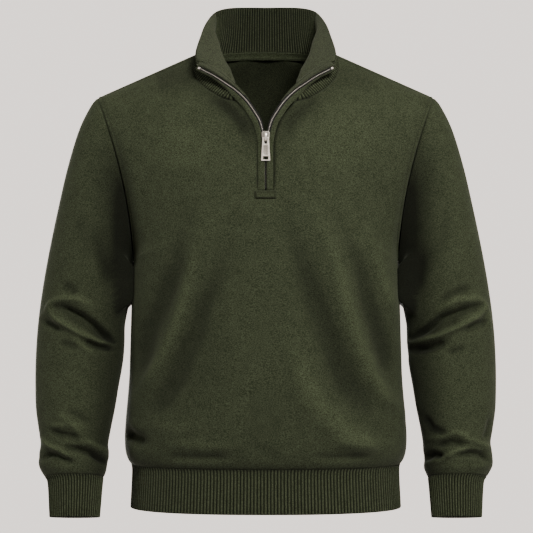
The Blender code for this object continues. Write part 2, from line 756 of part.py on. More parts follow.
def facing_patch(patch, directions):
    """Visible face of the left facing: inside the collar, rolled over towards the zip."""
    start = 2 * FACING_START
    depth = RIB_WALL + FACING_GAP + FACING_WALL
    depths = np.full(patch.shape[1] - 1 - start, depth)
    depths[-1] += FACING_LIFT
    lining = patch[:, start:-1] - directions[:, start:-1] * depths[None, :, None]
    lining[0] += (lining[1] - lining[0]) * FACING_RISE
    roll = []
    last = len(ZIP_LINE) - 1
    for r in range(COLLAR_ROWS + 1):
        row = NECK_CORNER_ROW + ROLL_START + (last - NECK_CORNER_ROW - ROLL_START) * r / COLLAR_ROWS
        width = ROLL_WIDTH * (0.35 + 0.65 * ease(r / 3.0))
        line = []
        for f, rise in ((1.0, 1.0), (0.5, -0.6), (0.0, 0.6)):
            point = zip_offset(row, -(ZIP_HALF_WIDTH + 3 * SEAM_GAP + width * f))
            point[1] += rise
            line.append(point)
        roll.append(line)
    return np.concatenate([lining, np.array(roll)], axis=1)


def neck_tape_patch(half, directions):
    """Inner face of the tape over the back neck seam, nearly from shoulder to shoulder."""
    count = len(BACK_NECK) + 1
    neck = half[-count:, 0]
    below = [half[-count - 1, 0] - neck[0]] + [half[k, 1] - half[k, 0] for k in range(1 - count, 0)]
    down = unit(np.array(below))
    normals = np.concatenate([directions[-count - 1:-count, 0], directions[1 - count:, 1]])
    depth = JERSEY_WALL + NECK_TAPE_GAP + FACING_WALL
    upper = neck + down * NECK_TAPE_TOP - directions[-count:, 0] * depth
    lower = neck + down * NECK_TAPE_WIDTH - unit(normals) * depth
    for line in (upper, lower):
        line[-1] = line[-2] + (line[-1] - line[-2]) * 0.6
    left = np.array([lower, (upper + lower) / 2, upper])
    return np.concatenate([mirrored(left)[:, :-1], left], axis=1)


# ---------------------------------------------------------------- placket bar
def make_bar(material, group):
    """The stitched box that closes the foot of the placket, on the front's surface."""
    columns = (-1.0, -0.5, 0.0, 0.5, 1.0)
    bottom = BAR_TOP - BAR_HEIGHT
    surface_top = point_on(ZIP_LINE, 0.0)[1] - PLACKET_CREST
    surface_bottom = FRONT_LOWER_EDGE[1][1] - 0.4
    rows = []
    for f in (1.0, 0.5, 0.0):
        y = surface_top + (surface_bottom - surface_top) * f
        line = [(BAR_WIDTH / 2 * c, y - SEAM_GAP - BAR_WALL, BAR_TOP + (bottom - BAR_TOP) * f)
                for c in columns]
        rows.append(line)
    return make_strip("placket_bar", np.array(rows), BAR_WALL, material, group)


# ---------------------------------------------------------------- metal pieces
def box_mesh(name, low, high, group):
    """Closed box between two corners, in millimetres."""
    bm = bmesh.new()
    bmesh.ops.create_cube(bm, size=1.0)
    size = np.array(high) - np.array(low)
    middle = (np.array(high) + np.array(low)) / 2
    bmesh.ops.scale(bm, vec=size * MM, verts=bm.verts)
    bmesh.ops.translate(bm, vec=middle * MM, verts=bm.verts)
    mesh = bpy.data.meshes.new(name)
    bm.to_mesh(mesh)
    bm.free()
    obj = bpy.data.objects.new(name, mesh)
    group.objects.link(obj)
    return obj


def plate_mesh(name, loops, thickness, front_y, material, group):
    """Flat plate in the XZ plane from an outline and its holes, in millimetres."""
    curve = bpy.data.curves.new(name + "_outline", "CURVE")
    curve.dimensions = "2D"
    curve.fill_mode = "BOTH"
    curve.extrude = thickness / 2 * MM
    for loop in loops:
        spline = curve.splines.new("POLY")
        spline.points.add(len(loop) - 1)
        for point, (x, z) in zip(spline.points, loop):
            point.co = (x * MM, z * MM, 0.0, 1.0)
        spline.use_cyclic_u = True
    outline = bpy.data.objects.new(name + "_outline", curve)
    group.objects.link(outline)
    graph = bpy.context.evaluated_depsgraph_get()
    mesh = bpy.data.meshes.new_from_object(outline.evaluated_get(graph))
    bpy.data.objects.remove(outline)
    bm = bmesh.new()
    bm.from_mesh(mesh)
    bmesh.ops.remove_doubles(bm, verts=bm.verts, dist=1e-6)
    bmesh.ops.rotate(bm, verts=bm.verts, matrix=rotation_to_front())
    bmesh.ops.translate(bm, verts=bm.verts, vec=(0.0, (front_y + thickness / 2) * MM, 0.0))
    bmesh.ops.recalc_face_normals(bm, faces=bm.faces)
    bm.to_mesh(mesh)
    bm.free()
    mesh.name = name
    if material is not None:
        mesh.materials.append(material)
    obj = bpy.data.objects.new(name, mesh)
    group.objects.link(obj)
    return obj


def rotation_to_front():
    """Rotation that stands a flat outline up, so that its Y becomes Z."""
    return Matrix.Rotation(math.pi / 2, 3, "X")


def rounded_outline(corners, radius, steps=3):
    """Outline with its corners rounded, from corner points in order."""
    points = []
    corners = [np.array(c, float) for c in corners]
    for k, corner in enumerate(corners):
        back = unit(corners[k - 1] - corner)
        ahead = unit(corners[(k + 1) % len(corners)] - corner)
        first, second = corner + back * radius, corner + ahead * radius
        for s in range(steps + 1):
            f = s / steps
            points.append((1 - f) ** 2 * first + 2 * f * (1 - f) * corner + f ** 2 * second)
    return points


def rectangle(upper, lower, width):
    """Corners of an upright rectangle, centred on x = 0."""
    half = width / 2
    return [(-half, lower), (half, lower), (half, upper), (-half, upper)]


def boolean(target, tool, operation):
    """Apply a Boolean of one object to another, and remove the tool."""
    modifier = target.modifiers.new(operation.lower(), "BOOLEAN")
    modifier.operation = operation
    modifier.object = tool
    graph = bpy.context.evaluated_depsgraph_get()
    mesh = bpy.data.meshes.new_from_object(target.evaluated_get(graph))
    target.modifiers.clear()
    target.data = mesh
    bpy.data.objects.remove(tool)


def make_slider(material, group, helpers):
    """Zip slider: front plate, post through the opening, rear plate and bridge."""
    top, bottom = SLIDER_TOP, SLIDER_TOP - SLIDER_HEIGHT
    half, neck = SLIDER_WIDTH / 2, SLIDER_NECK / 2
    shield = rounded_outline(
        [(-neck, bottom), (neck, bottom), (half, top - 5.0), (half - 1.5, top), (1.5 - half, top),
         (-half, top - 5.0)], 1.4)
    front_face = SLIDER_BACK - SLIDER_PLATE
    slider = plate_mesh("zip_slider", [shield], SLIDER_PLATE, front_face, material, group)
    post_half = SLIDER_POST_WIDTH / 2
    post = box_mesh("slider_post", (-post_half, SLIDER_BACK - 0.8, top - 0.8 - SLIDER_POST_HEIGHT),
                    (post_half, REAR_PLATE_FACE + 0.8, top - 0.8), helpers)
    boolean(slider, post, "UNION")
    rear = rounded_outline(rectangle(top, top - REAR_PLATE_HEIGHT, REAR_PLATE_WIDTH), 2.0)
    plate = plate_mesh("slider_rear", [rear], REAR_PLATE, REAR_PLATE_FACE, None, helpers)
    boolean(slider, plate, "UNION")
    bridge = make_bridge(front_face, helpers)
    boolean(slider, bridge, "UNION")
    slider.data.materials.clear()
    slider.data.materials.append(material)
    return slider


def make_bridge(front_face, helpers):
    """Bridge that holds the pull tab: an arch seen from the side, as wide as BRIDGE_WIDTH."""
    middle = (BRIDGE_TOP + BRIDGE_BOTTOM) / 2
    half = (BRIDGE_TOP - BRIDGE_BOTTOM) / 2
    sunk = 0.6
    outer, inner = [], []
    for k in range(13):
        angle = math.pi * k / 12
        bulge = abs(math.sin(angle)) ** 0.5
        z = middle + half * math.cos(angle)
        outer.append((BRIDGE_REACH * bulge, z))
        z = middle + (half - BRIDGE_WALL) * math.cos(angle)
        inner.append(((BRIDGE_REACH - BRIDGE_WALL) * bulge, z))
    outer[0] = (-sunk, outer[0][1])
    outer[-1] = (-sunk, outer[-1][1])
    inner[0] = (-sunk, inner[0][1])
    inner[-1] = (-sunk, inner[-1][1])
    outline = outer + inner[::-1]
    bm = bmesh.new()
    sides = []
    for x in (-BRIDGE_WIDTH / 2, BRIDGE_WIDTH / 2):
        sides.append([bm.verts.new((x * MM, (front_face - reach) * MM, z * MM)) for reach, z in outline])
    count = len(outline)
    for k in range(count):
        n = (k + 1) % count
        bm.faces.new((sides[0][k], sides[0][n], sides[1][n], sides[1][k]))
    steps = len(outer)
    for side in sides:
        for k in range(steps - 1):
            bm.faces.new((side[k], side[k + 1], side[count - 2 - k], side[count - 1 - k]))
    bmesh.ops.recalc_face_normals(bm, faces=bm.faces)
    mesh = bpy.data.meshes.new("slider_bridge")
    bm.to_mesh(mesh)
    bm.free()
    bridge = bpy.data.objects.new("slider_bridge", mesh)
    helpers.objects.link(bridge)
    return bridge


def make_pull_tab(material, group, helpers):
    """Pull tab: a tapered plate with a slot for the bridge, a sunk panel and a window."""
    top, bottom = TAB_BAR, -TAB_LENGTH
    upper, lower = TAB_TOP_WIDTH / 2, TAB_BOTTOM_WIDTH / 2
    waist = upper - 0.6
    outline = rounded_outline(
        [(-lower, bottom), (lower, bottom), (waist, -9.0), (upper, top), (-upper, top), (-waist, -9.0)], 0.8)
    slot = rounded_outline(rectangle(*TAB_SLOT), 0.4, 2)
    window = rounded_outline(rectangle(*TAB_WINDOW), 0.5, 2)
    front = -TAB_THICKNESS / 2
    tab = plate_mesh("pull_tab", [outline, slot, window], TAB_THICKNESS, front, material, group)
    upper_z, lower_z, width = TAB_PANEL
    sunk = box_mesh("tab_panel", (-width / 2, front - 1.0, lower_z), (width / 2, front + TAB_PANEL_DEPTH, upper_z),
                    helpers)
    boolean(tab, sunk, "DIFFERENCE")
    tab.data.materials.clear()
    tab.data.materials.append(material)
    tab.location = (0.0, TAB_AXIS_Y * MM, TAB_AXIS_Z * MM)
    return tab


# ---------------------------------------------------------------- the sweater
def new_material(name, color, roughness, metallic):
    """Principled material of one colour."""
    material = bpy.data.materials.new(name)
    material.use_nodes = True
    shader = material.node_tree.nodes["Principled BSDF"]
    shader.inputs["Base Color"].default_value = color
    shader.inputs["Roughness"].default_value = roughness
    shader.inputs["Metallic"].default_value = metallic
    material.diffuse_color = color
    return material


def new_collection(name):
    """Collection linked to the scene."""
    group = bpy.data.collections.new(name)
    bpy.context.scene.collection.children.link(group)
    return group


def build():
    """Build every piece of the sweater."""
    for obj in list(bpy.data.objects):
        bpy.data.objects.remove(obj)
    sweater = new_collection("quarter_zip_sweater")
    helpers = new_collection("helpers")
    knit = new_material("brushed_knit", KNIT_GREEN, 0.9, 0.0)
    rib = new_material("rib_knit", RIB_GREEN, 0.9, 0.0)
    tape = new_material("zip_tape", TAPE_BLACK, 0.8, 0.0)
    metal = new_material("zip_metal", ZIP_METAL, 0.3, 1.0)

    front_right, front_left = folded_halves(panel(front=True), FOLDS["front"])
    back_half = panel(front=False)
    back_right, back_left = folded_halves(back_half, FOLDS["back"])
    back_right, back_left = back_right[:, ::-1], back_left[:, ::-1]
    sleeve_left = sleeve(FOLDS["sleeve_left"])
    right_folds = [(-f[0], f[1], -f[2], f[3], f[4], f[5]) for f in FOLDS["sleeve_right"]]
    sleeve_right = mirrored(sleeve(right_folds))
    cuff_left = cuff()
    cuff_right = mirrored(cuff_left)
    hem = hem_band()
    collar_left = collar()
    collar_whole = np.concatenate([collar_left[:, :0:-1] * np.array([-1.0, 1.0, 1.0]), collar_left], axis=1)
    collar_whole = collar_whole[:, ::-1]

    open_skins = (front_right, front_left, back_right, back_left, collar_whole)
    tubes = (sleeve_left, sleeve_right, cuff_left, cuff_right, hem)
    sewn = [(skin, False) for skin in open_skins] + [(skin, True) for skin in tubes]
    shared = seam_directions(sewn)

    below_placket = len(BODY_LEVELS) + len(FRONT_LOWER_EDGE)
    make_panel("front", (front_right, front_left), below_placket, shared, knit, sweater)
    below_neck = len(BODY_LEVELS) + len(BACK_CENTRE)
    make_panel("back", (back_left, back_right), below_neck, shared, knit, sweater)
    make_tube("sleeve_left", sleeve_left, JERSEY_WALL, shared, knit, sweater)
    make_tube("sleeve_right", sleeve_right, JERSEY_WALL, shared, knit, sweater)
    cuff_ribs = (CUFF_RIB_PITCH, rib_shares(len(CUFF_RINGS), False, True))
    make_tube("cuff_left", cuff_left, RIB_WALL, shared, rib, sweater, cuff_ribs)
    make_tube("cuff_right", cuff_right, RIB_WALL, shared, rib, sweater, cuff_ribs)
    hem_ribs = (HEM_RIB_PITCH, rib_shares(len(HEM_RINGS), False, True))
    make_tube("hem_band", hem, RIB_WALL, shared, rib, sweater, hem_ribs, level_rim=True)
    make_collar(collar_whole, shared, rib, sweater)

    lining = wall_directions(collar_left[:, ::-1], False, shared)[:, ::-1]
    facing = facing_patch(collar_left, lining)
    tape_back = neck_tape_patch(back_half, wall_directions(back_half[:, ::-1], False, shared)[:, ::-1])
    make_strip("neck_tape", tape_back, FACING_WALL, knit, sweater)
    for side, left in (("left", True), ("right", False)):
        make_strip("collar_facing_" + side, sided(facing, left), FACING_WALL, knit, sweater)
        make_strip("placket_" + side, sided(placket_patch(), left), JERSEY_WALL, knit, sweater)
        make_strip("zip_tape_" + side, sided(zip_tape_patch(), left), TAPE_WALL, tape, sweater)
    make_bar(knit, sweater)
    make_slider(metal, sweater, helpers)
    make_pull_tab(metal, sweater, helpers)


def make_collar(patch, shared, material, group):
    """The collar: a ribbed wall, plain inside."""
    bm = bmesh.new()
    ribs = (COLLAR_RIB_PITCH, rib_shares(COLLAR_ROWS + 1, True, False))
    drawn = drawn_in(patch, False, ("first_row",), SEAM_GAP)
    directions = wall_directions(patch, False, shared)
    directions[0, 1::2] = (directions[0, :-1:2] + directions[0, 2::2]) / 2
    add_wall(bm, drawn, directions, RIB_WALL, ribs=ribs)
    return finished(bm, "collar", material, group)


build()
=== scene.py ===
"""Dresses the quarter zip sweater: knit cloth with folds, ribs, seams and stitches, and a metal zip.

The tables are in millimetres and the meshes in metres. +Z is up, the front faces -Y, and left is the
wearer's, at +X. Every cloth piece is a grid of points on its outer face, refined from the same few
rows that its solid has, then given its folds, seams and ribs, and closed into a thin shell.
"""
import logging
import math
from dataclasses import dataclass, field
from enum import Enum

import bmesh
import bpy
import numpy as np
from mathutils import Matrix, Vector


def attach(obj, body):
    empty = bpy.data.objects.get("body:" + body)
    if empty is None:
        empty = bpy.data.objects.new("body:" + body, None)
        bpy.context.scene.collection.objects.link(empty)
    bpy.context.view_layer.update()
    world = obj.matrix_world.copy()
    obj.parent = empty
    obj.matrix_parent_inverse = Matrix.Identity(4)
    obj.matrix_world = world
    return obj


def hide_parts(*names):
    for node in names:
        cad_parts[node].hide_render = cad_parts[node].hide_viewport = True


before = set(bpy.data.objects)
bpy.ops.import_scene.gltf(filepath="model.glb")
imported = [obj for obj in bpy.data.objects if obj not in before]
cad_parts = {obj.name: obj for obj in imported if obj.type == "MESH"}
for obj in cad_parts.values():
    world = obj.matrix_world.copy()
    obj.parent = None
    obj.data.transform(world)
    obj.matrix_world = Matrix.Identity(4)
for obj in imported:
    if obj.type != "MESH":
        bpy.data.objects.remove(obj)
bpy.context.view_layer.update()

MM = 0.001
GARMENT = "garment"
LOG = logging.getLogger("sweater")

JERSEY_WALL = 1.9
RIB_WALL = 2.2
FACING_WALL = 1.3
SEAM_GAP = 0.3
# Painted shade and light in the knit's colour: shade in fold troughs and beside the armholes, light on fold
# ridges.
HOLLOW_SHADE = 0.64
HOLLOW_DEPTH = 7.5
CREST_LIGHT = 0.56
CREST_HEIGHT = 7.0
SINK_SHADE = 1.3
SINK_FRONT = 17.0
SINK_BACK = 9.0
END_SHARE = 0.25            # share of a fold's height that is left at its ends

BODY_SECTIONS = (
    # height, half width, front depth, back depth
    (-608.5, 202.0, 117.0, 101.0),
    (-598.0, 208.0, 123.0, 107.0),
    (-580.0, 211.5, 127.0, 111.0),
    (-556.0, 211.0, 128.5, 112.5),
    (-520.0, 208.0, 128.5, 112.0),
    (-484.0, 205.0, 127.5, 110.0),
    (-424.0, 203.0, 126.5, 108.0),
    (-364.0, 201.0, 126.0, 109.0),
    (-306.0, 198.0, 124.0, 111.0),
)
BODY_LEVELS = (-608.5, -599, -586, -566, -540, -510, -478, -446, -414, -386, -360, -333, -306)
ARMPIT_LIFT = 44.0
OVAL_SQUARENESS = 2.35
COLUMNS = 9
ARM_HALF = 12
ARMHOLE = (252.0, -61.0, 198.0, -306.0, 56.0, 0.0, 0.0)
ARMHOLE_BACK_DEPTH = 62.0
ARMHOLE_SCOOP = 12.0
SCOOP_RINGS = 4
CHEST_POWER = 2.5
SHOULDER_POWER = 1.5

ZIP_LINE = (
    # x, y, z of the middle of the teeth, reach of the tape towards the opening
    (0.9, -117.5, -203.5, 0.6),
    (0.9, -114.3, -176.0, 0.6),
    (0.9, -111.0, -146.0, 0.6),
    (1.5, -109.0, -130.0, 1.0),
    (4.7, -106.5, -115.5, 2.4),
    (9.0, -104.0, -101.3, 3.0),
    (16.8, -100.5, -88.0, 3.2),
    (24.8, -97.0, -76.1, 3.2),
    (35.0, -93.0, -64.6, 3.2),
    (46.3, -88.0, -54.5, 3.2),
    (56.1, -83.0, -47.7, 3.2),
    (74.8, -74.0, -34.8, 3.2),
    (99.2, -61.0, -21.4, 2.6),
)
ZIP_OPENING_ROW = 2.2
ZIP_OPENING_ROWS = 1.2
ZIP_RISE_ROW = 3.3
TAPE_HIDDEN_REACH = 7.0
ZIP_HALF_WIDTH = 3.2
PLACKET_OUTER = 10.7
NECK_CORNER_ROW = 8.0
CORNER_SINK = 2.9
FRONT_LOWER_EDGE = ((0.0, -122.5, -240.0), (0.0, -119.2, -214.0))
PLACKET_ROWS = (0.0, 1.6, 3.0, 4.2, 5.8, NECK_CORNER_ROW)
FRONT_NECK = ((66.0, -77.5, -64.5), (90.0, -57.5, -49.5), (106.5, -31.0, -26.0), (105.5, 0.0, 4.0))
BACK_CENTRE = (
    (0.0, 112.5, -236.0), (0.0, 114.5, -199.0), (0.0, 115.5, -162.0), (0.0, 115.0, -125.0),
    (0.0, 112.0, -89.0), (0.0, 105.5, -54.0), (0.0, 95.0, -19.0), (0.0, 80.0, 15.0),
)
BACK_NECK = ((33.0, 76.5, 14.0), (64.0, 64.5, 11.2), (89.0, 42.0, 9.0), (105.5, 0.0, 4.0))
COLLAR_SECTIONS = (
    # middle x, y, z, top x, y, z, from the centre back to the zip
    (0.0, 85.0, 49.0, 0.0, 81.0, 83.0),
    (32.0, 81.5, 49.0, 31.0, 79.5, 83.0),
    (58.5, 69.0, 47.0, 58.0, 70.0, 80.5),
    (77.0, 48.0, 43.0, 78.0, 53.0, 72.0),
    (82.0, 14.0, 33.0, 90.5, 20.0, 51.0),
    (74.5, -14.0, 12.0, 97.0, -7.0, 29.0),
    (65.5, -38.0, -10.0, 102.0, -29.0, 10.0),
    (54.5, -61.0, -33.0, 103.5, -46.0, -4.0),
    (58.0, -75.0, -46.0, 100.5, -56.0, -18.5),
)
FACING_START = 4
SLEEVE_RINGS = (
    # outer x, z, inner x, z, half depth, y of the middle, forward tilt
    (263.0, -75.0, 200.6, -313.0, 59.0, 0.0, 0.00),
    (280.0, -110.0, 202.4, -325.0, 61.0, 0.0, 0.00),
    (297.0, -166.0, 203.4, -340.5, 62.0, 0.5, 0.00),
    (311.0, -226.0, 204.0, -355.0, 61.5, 1.5, 0.00),
    (322.5, -280.0, 205.4, -371.0, 60.5, 2.0, 0.00),
    (331.0, -325.0, 208.4, -386.0, 60.0, 2.5, 0.00),
    (336.5, -360.0, 211.0, -401.0, 59.5, 2.0, 0.00),
    (339.3, -381.0, 211.5, -412.0, 59.2, 1.2, 0.01),
    (341.4, -401.0, 211.5, -424.0, 58.8, 0.0, 0.03),
    (342.9, -421.0, 212.0, -437.0, 58.2, -1.8, 0.05),
    (343.9, -442.0, 213.0, -451.0, 57.5, -4.2, 0.08),
    (344.4, -466.0, 215.5, -469.0, 56.2, -7.8, 0.12),
    (344.0, -494.0, 219.5, -492.0, 54.5, -13.0, 0.16),
    (342.3, -526.0, 224.2, -523.0, 51.5, -20.5, 0.20),
    (337.5, -556.0, 230.0, -554.0, 48.5, -28.0, 0.22),
    (333.8, -576.0, 233.6, -576.0, 46.0, -33.0, 0.23),
    (335.8, -592.5, 233.2, -593.5, 45.0, -36.5, 0.23),
    (335.9, -609.0, 234.2, -609.5, 43.5, -40.0, 0.23),
    (327.0, -625.5, 239.4, -625.5, 38.0, -44.0, 0.23),
)
CUFF_RINGS = (
    (327.0, -625.5, 239.4, -625.5, 38.0, -44.0, 0.23),
    (321.8, -635.0, 241.2, -635.0, 33.5, -46.2, 0.21),
    (318.2, -682.5, 244.6, -682.5, 31.0, -56.5, 0.16),
)
HEM_RINGS = ((-608.5, 202.0, 117.0, 101.0), (-619.0, 199.6, 114.6, 98.6), (-672.5, 202.0, 117.0, 101.0))
FLIP = np.array([-1.0, 1.0, 1.0])
RIB_SAMPLES = 8             # columns to each rib
SEAM_CROWD = (0.02, 0.045, 0.07, 0.1, 0.14, 0.18, 0.23, 0.29, 0.36)  # extra places beside a seam
LEAST_STEP = 0.012          # places closer together than this become one
ARMPIT_ROW = 12.0           # the row of a panel that ends at the armpit
ARMHOLE_SEAM_ROW = 12.5     # the armhole's seam groove starts here
ARMHOLE_STITCH_ROW = 13.6   # its row of stitches starts here


# ---------------------------------------------------------------- numbers and curves
def unit(vectors: np.ndarray) -> np.ndarray:
    """Vectors of length one."""
    return vectors / np.maximum(np.linalg.norm(vectors, axis=-1, keepdims=True), 1e-12)


def ease(value: np.ndarray | float) -> np.ndarray | float:
    """Smooth step from 0 to 1."""
    held = np.clip(value, 0.0, 1.0)
    return held * held * (3 - 2 * held)


def bump(distance: np.ndarray, middle: float, width: float) -> np.ndarray:
    """Soft hump of height 1 at a distance."""
    return np.exp(-(((distance - middle) / width) ** 2))


def spline(points: np.ndarray, where: np.ndarray, closed: bool = False) -> np.ndarray:
    """Smooth curve through points along their first axis.

    Args:
        points: Points or rows of points.
        where: Positions along them, in points, which may be fractions.
        closed: Whether the last point is followed by the first.

    Returns:
        One point or row for each position.
    """
    where = np.asarray(where, float)
    count = len(points)
    if closed:
        k = np.floor(where).astype(int)
        p0, p1, p2, p3 = (points[(k + n) % count] for n in (-1, 0, 1, 2))
    else:
        k = np.clip(np.floor(where).astype(int), 0, count - 2)
        longer = np.concatenate([[2 * points[0] - points[1]], points, [2 * points[-1] - points[-2]]])
        p0, p1, p2, p3 = (longer[k + n] for n in (0, 1, 2, 3))
    f = (where - k).reshape(-1, *[1] * (points.ndim - 1))
    return 0.5 * (
        2 * p1
        + (p2 - p0) * f
        + (2 * p0 - 5 * p1 + 4 * p2 - p3) * f ** 2
        + (3 * p1 - p0 - 3 * p2 + p3) * f ** 3
    )


def across(patch: np.ndarray, where: np.ndarray, closed: bool = False) -> np.ndarray:
    """The spline taken along the columns of a patch."""
    return spline(patch.swapaxes(0, 1), where, closed).swapaxes(0, 1)


def run_of(points: np.ndarray) -> np.ndarray:
    """Distance along a line at each of its points."""
    return np.concatenate(([0.0], np.cumsum(np.linalg.norm(np.diff(points, axis=0), axis=1))))


def evenly(points: np.ndarray, cells: int) -> np.ndarray:
    """The same line with its points evenly spaced.

    Args:
        points: Points of the line.
        cells: Even steps wanted.

    Returns:
        The new points, one more than the steps.
    """
    run = run_of(points)
    wanted = np.linspace(0.0, run[-1], cells + 1)
    return np.stack([np.interp(wanted, run, points[:, k]) for k in range(3)], axis=1)


def normals_of(patch: np.ndarray, closed: bool = False) -> np.ndarray:
    """Unit normals at the points of a patch.

    Args:
        patch: Rows of points.
        closed: Whether the last column meets the first.

    Returns:
        A vector for each point.
    """
    if closed:
        around = np.roll(patch, -1, axis=1) - np.roll(patch, 1, axis=1)
    else:
        around = np.gradient(patch, axis=1)
    return unit(np.cross(around, np.gradient(patch, axis=0)))


def area_of(patch: np.ndarray, closed: bool = False) -> float:
    """Area of a patch in square metres.

    Args:
        patch: Rows of points in millimetres.
        closed: Whether the last column meets the first.

    Returns:
        The area.
    """
    if closed:
        patch = np.concatenate([patch, patch[:, :1]], axis=1)
    first = np.cross(patch[1:, :-1] - patch[:-1, :-1], patch[:-1, 1:] - patch[:-1, :-1])
    second = np.cross(patch[:-1, 1:] - patch[1:, 1:], patch[1:, :-1] - patch[1:, 1:])
    total = np.linalg.norm(first, axis=-1).sum() + np.linalg.norm(second, axis=-1).sum()
    return float(total) / 2 * MM * MM


def mirrored(patch: np.ndarray) -> np.ndarray:
    """The other side of a patch, with its faces still pointing out."""
    return patch[:, ::-1] * FLIP


def side_name(left: bool) -> str:
    """Name of a side of the garment."""
    return "left" if left else "right"


def on_side(patch: np.ndarray, left: bool) -> np.ndarray:
    """A patch of the left side, or its mirror image for the right."""
    return patch if left else mirrored(patch)


def crowded(start: float, stop: float, steps: int, first: bool = False, last: bool = False) -> np.ndarray:
    """Positions along a patch, closer together beside a seam.

    Args:
        start: First position.
        stop: Last position.
        steps: Even steps between them.
        first: Whether more are added after the start.
        last: Whether more are added before the stop.

    Returns:
        The positions in order.
    """
    where = list(np.linspace(start, stop, steps + 1))
    if first:
        where += [start + e for e in SEAM_CROWD]
    if last:
        where += [stop - e for e in SEAM_CROWD]
    ordered = np.unique(np.round(where, 4))
    keep = np.concatenate(([True], np.diff(ordered) > LEAST_STEP))
    keep[-1] = True
    return ordered[keep]


# ---------------------------------------------------------------- folds
@dataclass(frozen=True)
class Fold:
    """A soft ridge (height above 0) or trough (below 0) along a line seen from the front."""

    line: tuple[tuple[float, float], ...]
    width: float
    height: float
    tail: float = 0.24
    foot: float = 0.24

    def height_at(self, x: np.ndarray, z: np.ndarray) -> np.ndarray:
        """Height of the fold at points.

        Args:
            x: Places across.
            z: Places up.

        Returns:
            The height at each, in millimetres, fading towards the fold's ends.
        """
        best = np.full(x.shape, 1e9)
        share = np.zeros(x.shape)
        count = len(self.line) - 1
        for k in range(count):
            start, end = np.array(self.line[k]), np.array(self.line[k + 1])
            span = end - start
            along = ((x - start[0]) * span[0] + (z - start[1]) * span[1]) / (span @ span)
            held = np.clip(along, 0.0, 1.0)
            away = np.hypot(x - start[0] - held * span[0], z - start[1] - held * span[1])
            nearer = away < best
            best = np.where(nearer, away, best)
            share = np.where(nearer, (k + held) / count, share)
        fade = ease(share / self.tail) * ease((1 - share) / self.foot)
        return self.height * np.exp(-((best / self.width) ** 2)) * (END_SHARE + (1 - END_SHARE) * fade)


def painted_fold_shade(height: np.ndarray) -> np.ndarray:
    """Painted shade in a fold's trough, below 0 for painted light on its ridge."""
    return HOLLOW_SHADE * ease(-height / HOLLOW_DEPTH) - CREST_LIGHT * ease(height / CREST_HEIGHT)


def fold_field(points: np.ndarray, folds: tuple[Fold, ...], shift: float = 0.0) -> np.ndarray:
    """Sum of the folds' heights at the points of a patch, lowered by a shift.

    Args:
        points: Rows of points.
        folds: The folds.
        shift: How much lower they lie, in millimetres.

    Returns:
        The sum at each point.
    """
    total = np.zeros(points.shape[:-1])
    for fold in folds:
        total += fold.height_at(points[..., 0], points[..., 2] + shift)
    return total


FRONT_FOLDS = (
    Fold(
        ((25, -226), (38, -264), (54, -308), (62, -334), (75, -370),
         (88, -406), (103, -442), (117, -478), (145, -514), (165, -547)),
        19, -9.5, 0.5, 0.2),
    Fold(
        ((75, -240), (91, -276), (107, -319), (116, -363), (127, -406),
         (140, -442), (155, -478), (179, -510), (198, -533)),
        11, 9.0, 0.5, 0.2),
    Fold(
        ((109, -250), (129, -293), (145, -334), (153, -370),
         (165, -406), (176, -442), (187, -485)),
        14, -9.5, 0.5, 0.2),
    Fold(((145, -254), (163, -302), (176, -345), (188, -384)), 11, 5.0, 0.5, 0.2),
    Fold(
        ((28, -406), (42, -442), (54, -478), (71, -514),
         (99, -544), (139, -572), (165, -583)),
        17, 8.0, 0.5, 0.2),
    Fold(((172, -501), (184, -524), (197, -543)), 9, -3.5, 0.5, 0.2),
    Fold(
        ((-118, -233), (-127, -276), (-132, -316), (-144, -345),
         (-155, -374), (-173, -409), (-181, -446), (-190, -490)),
        16, -9.5, 0.5, 0.2),
    Fold(
        ((-88, -250), (-103, -290), (-114, -334), (-122, -374),
         (-134, -409), (-150, -443), (-173, -481), (-191, -510)),
        10, 7.0, 0.5, 0.2),
    Fold(
        ((-49, -259), (-60, -298), (-75, -341), (-92, -374), (-101, -409),
         (-118, -442), (-131, -478), (-155, -514), (-177, -536)),
        16, -9.0, 0.5, 0.2),
    Fold(((-95, -543), (-124, -553), (-155, -547), (-181, -547)), 10, 2.5),
    Fold(((-212, -560), (-196, -566), (-177, -571)), 9, -12.0),
    Fold(((-144, -570), (-95, -575), (-43, -575)), 8, 3.2),
    Fold(((-144, -592), (-98, -593), (-49, -591)), 6, -3.4),
    Fold(((97, -565), (130, -573), (171, -575)), 10, 4.6),
    Fold(((70, -589), (101, -593), (153, -591)), 6, -3.2),
    Fold(((-23, -565), (-5, -582), (21, -596)), 9, -1.4),
    Fold(((-88, -62), (-57, -80), (-37, -106), (-28, -143)), 9, -3.6),
    Fold(((87, -62), (58, -80), (38, -106), (29, -140)), 9, -2.8),
)
FRONT_SHADES = (
    # stretches of painted shade (above 0) and of painted light (below 0), value in place of height
    Fold(((-88, -52), (-66, -70), (-46, -86), (-28, -104), (-15, -130)), 15, 0.42),
    Fold(((84, -54), (60, -72), (39, -91), (24, -112)), 12, 0.26),
    Fold(((-112, -100), (-122, -180)), 44, -0.42),
    Fold(((104, -96), (116, -176)), 46, -0.30),
    Fold(((-165, -38), (-95, -22)), 26, 0.60, 0.1, 0.1),
    Fold(((95, -22), (165, -38)), 24, 0.30, 0.1, 0.1),
    Fold(((-63, -399), (-77, -438), (-95, -478), (-121, -510)), 24, 0.2),
    Fold(((88, -435), (107, -475), (125, -504)), 16, 0.14),
    Fold(((-23, -507), (9, -528), (44, -543)), 50, 0.1),
    Fold(((-138, -262), (-155, -348), (-178, -420), (-187, -485)), 12, 0.14),
    Fold(((159, -363), (174, -413), (185, -464)), 12, 0.22),
)
# Painted shadow under both collar flaps, beside the zip.
CHEST_SHADE = Fold(((112, -40), (76, -70), (46, -92), (24, -112), (16, -150)), 17, 0.42, 0.4)
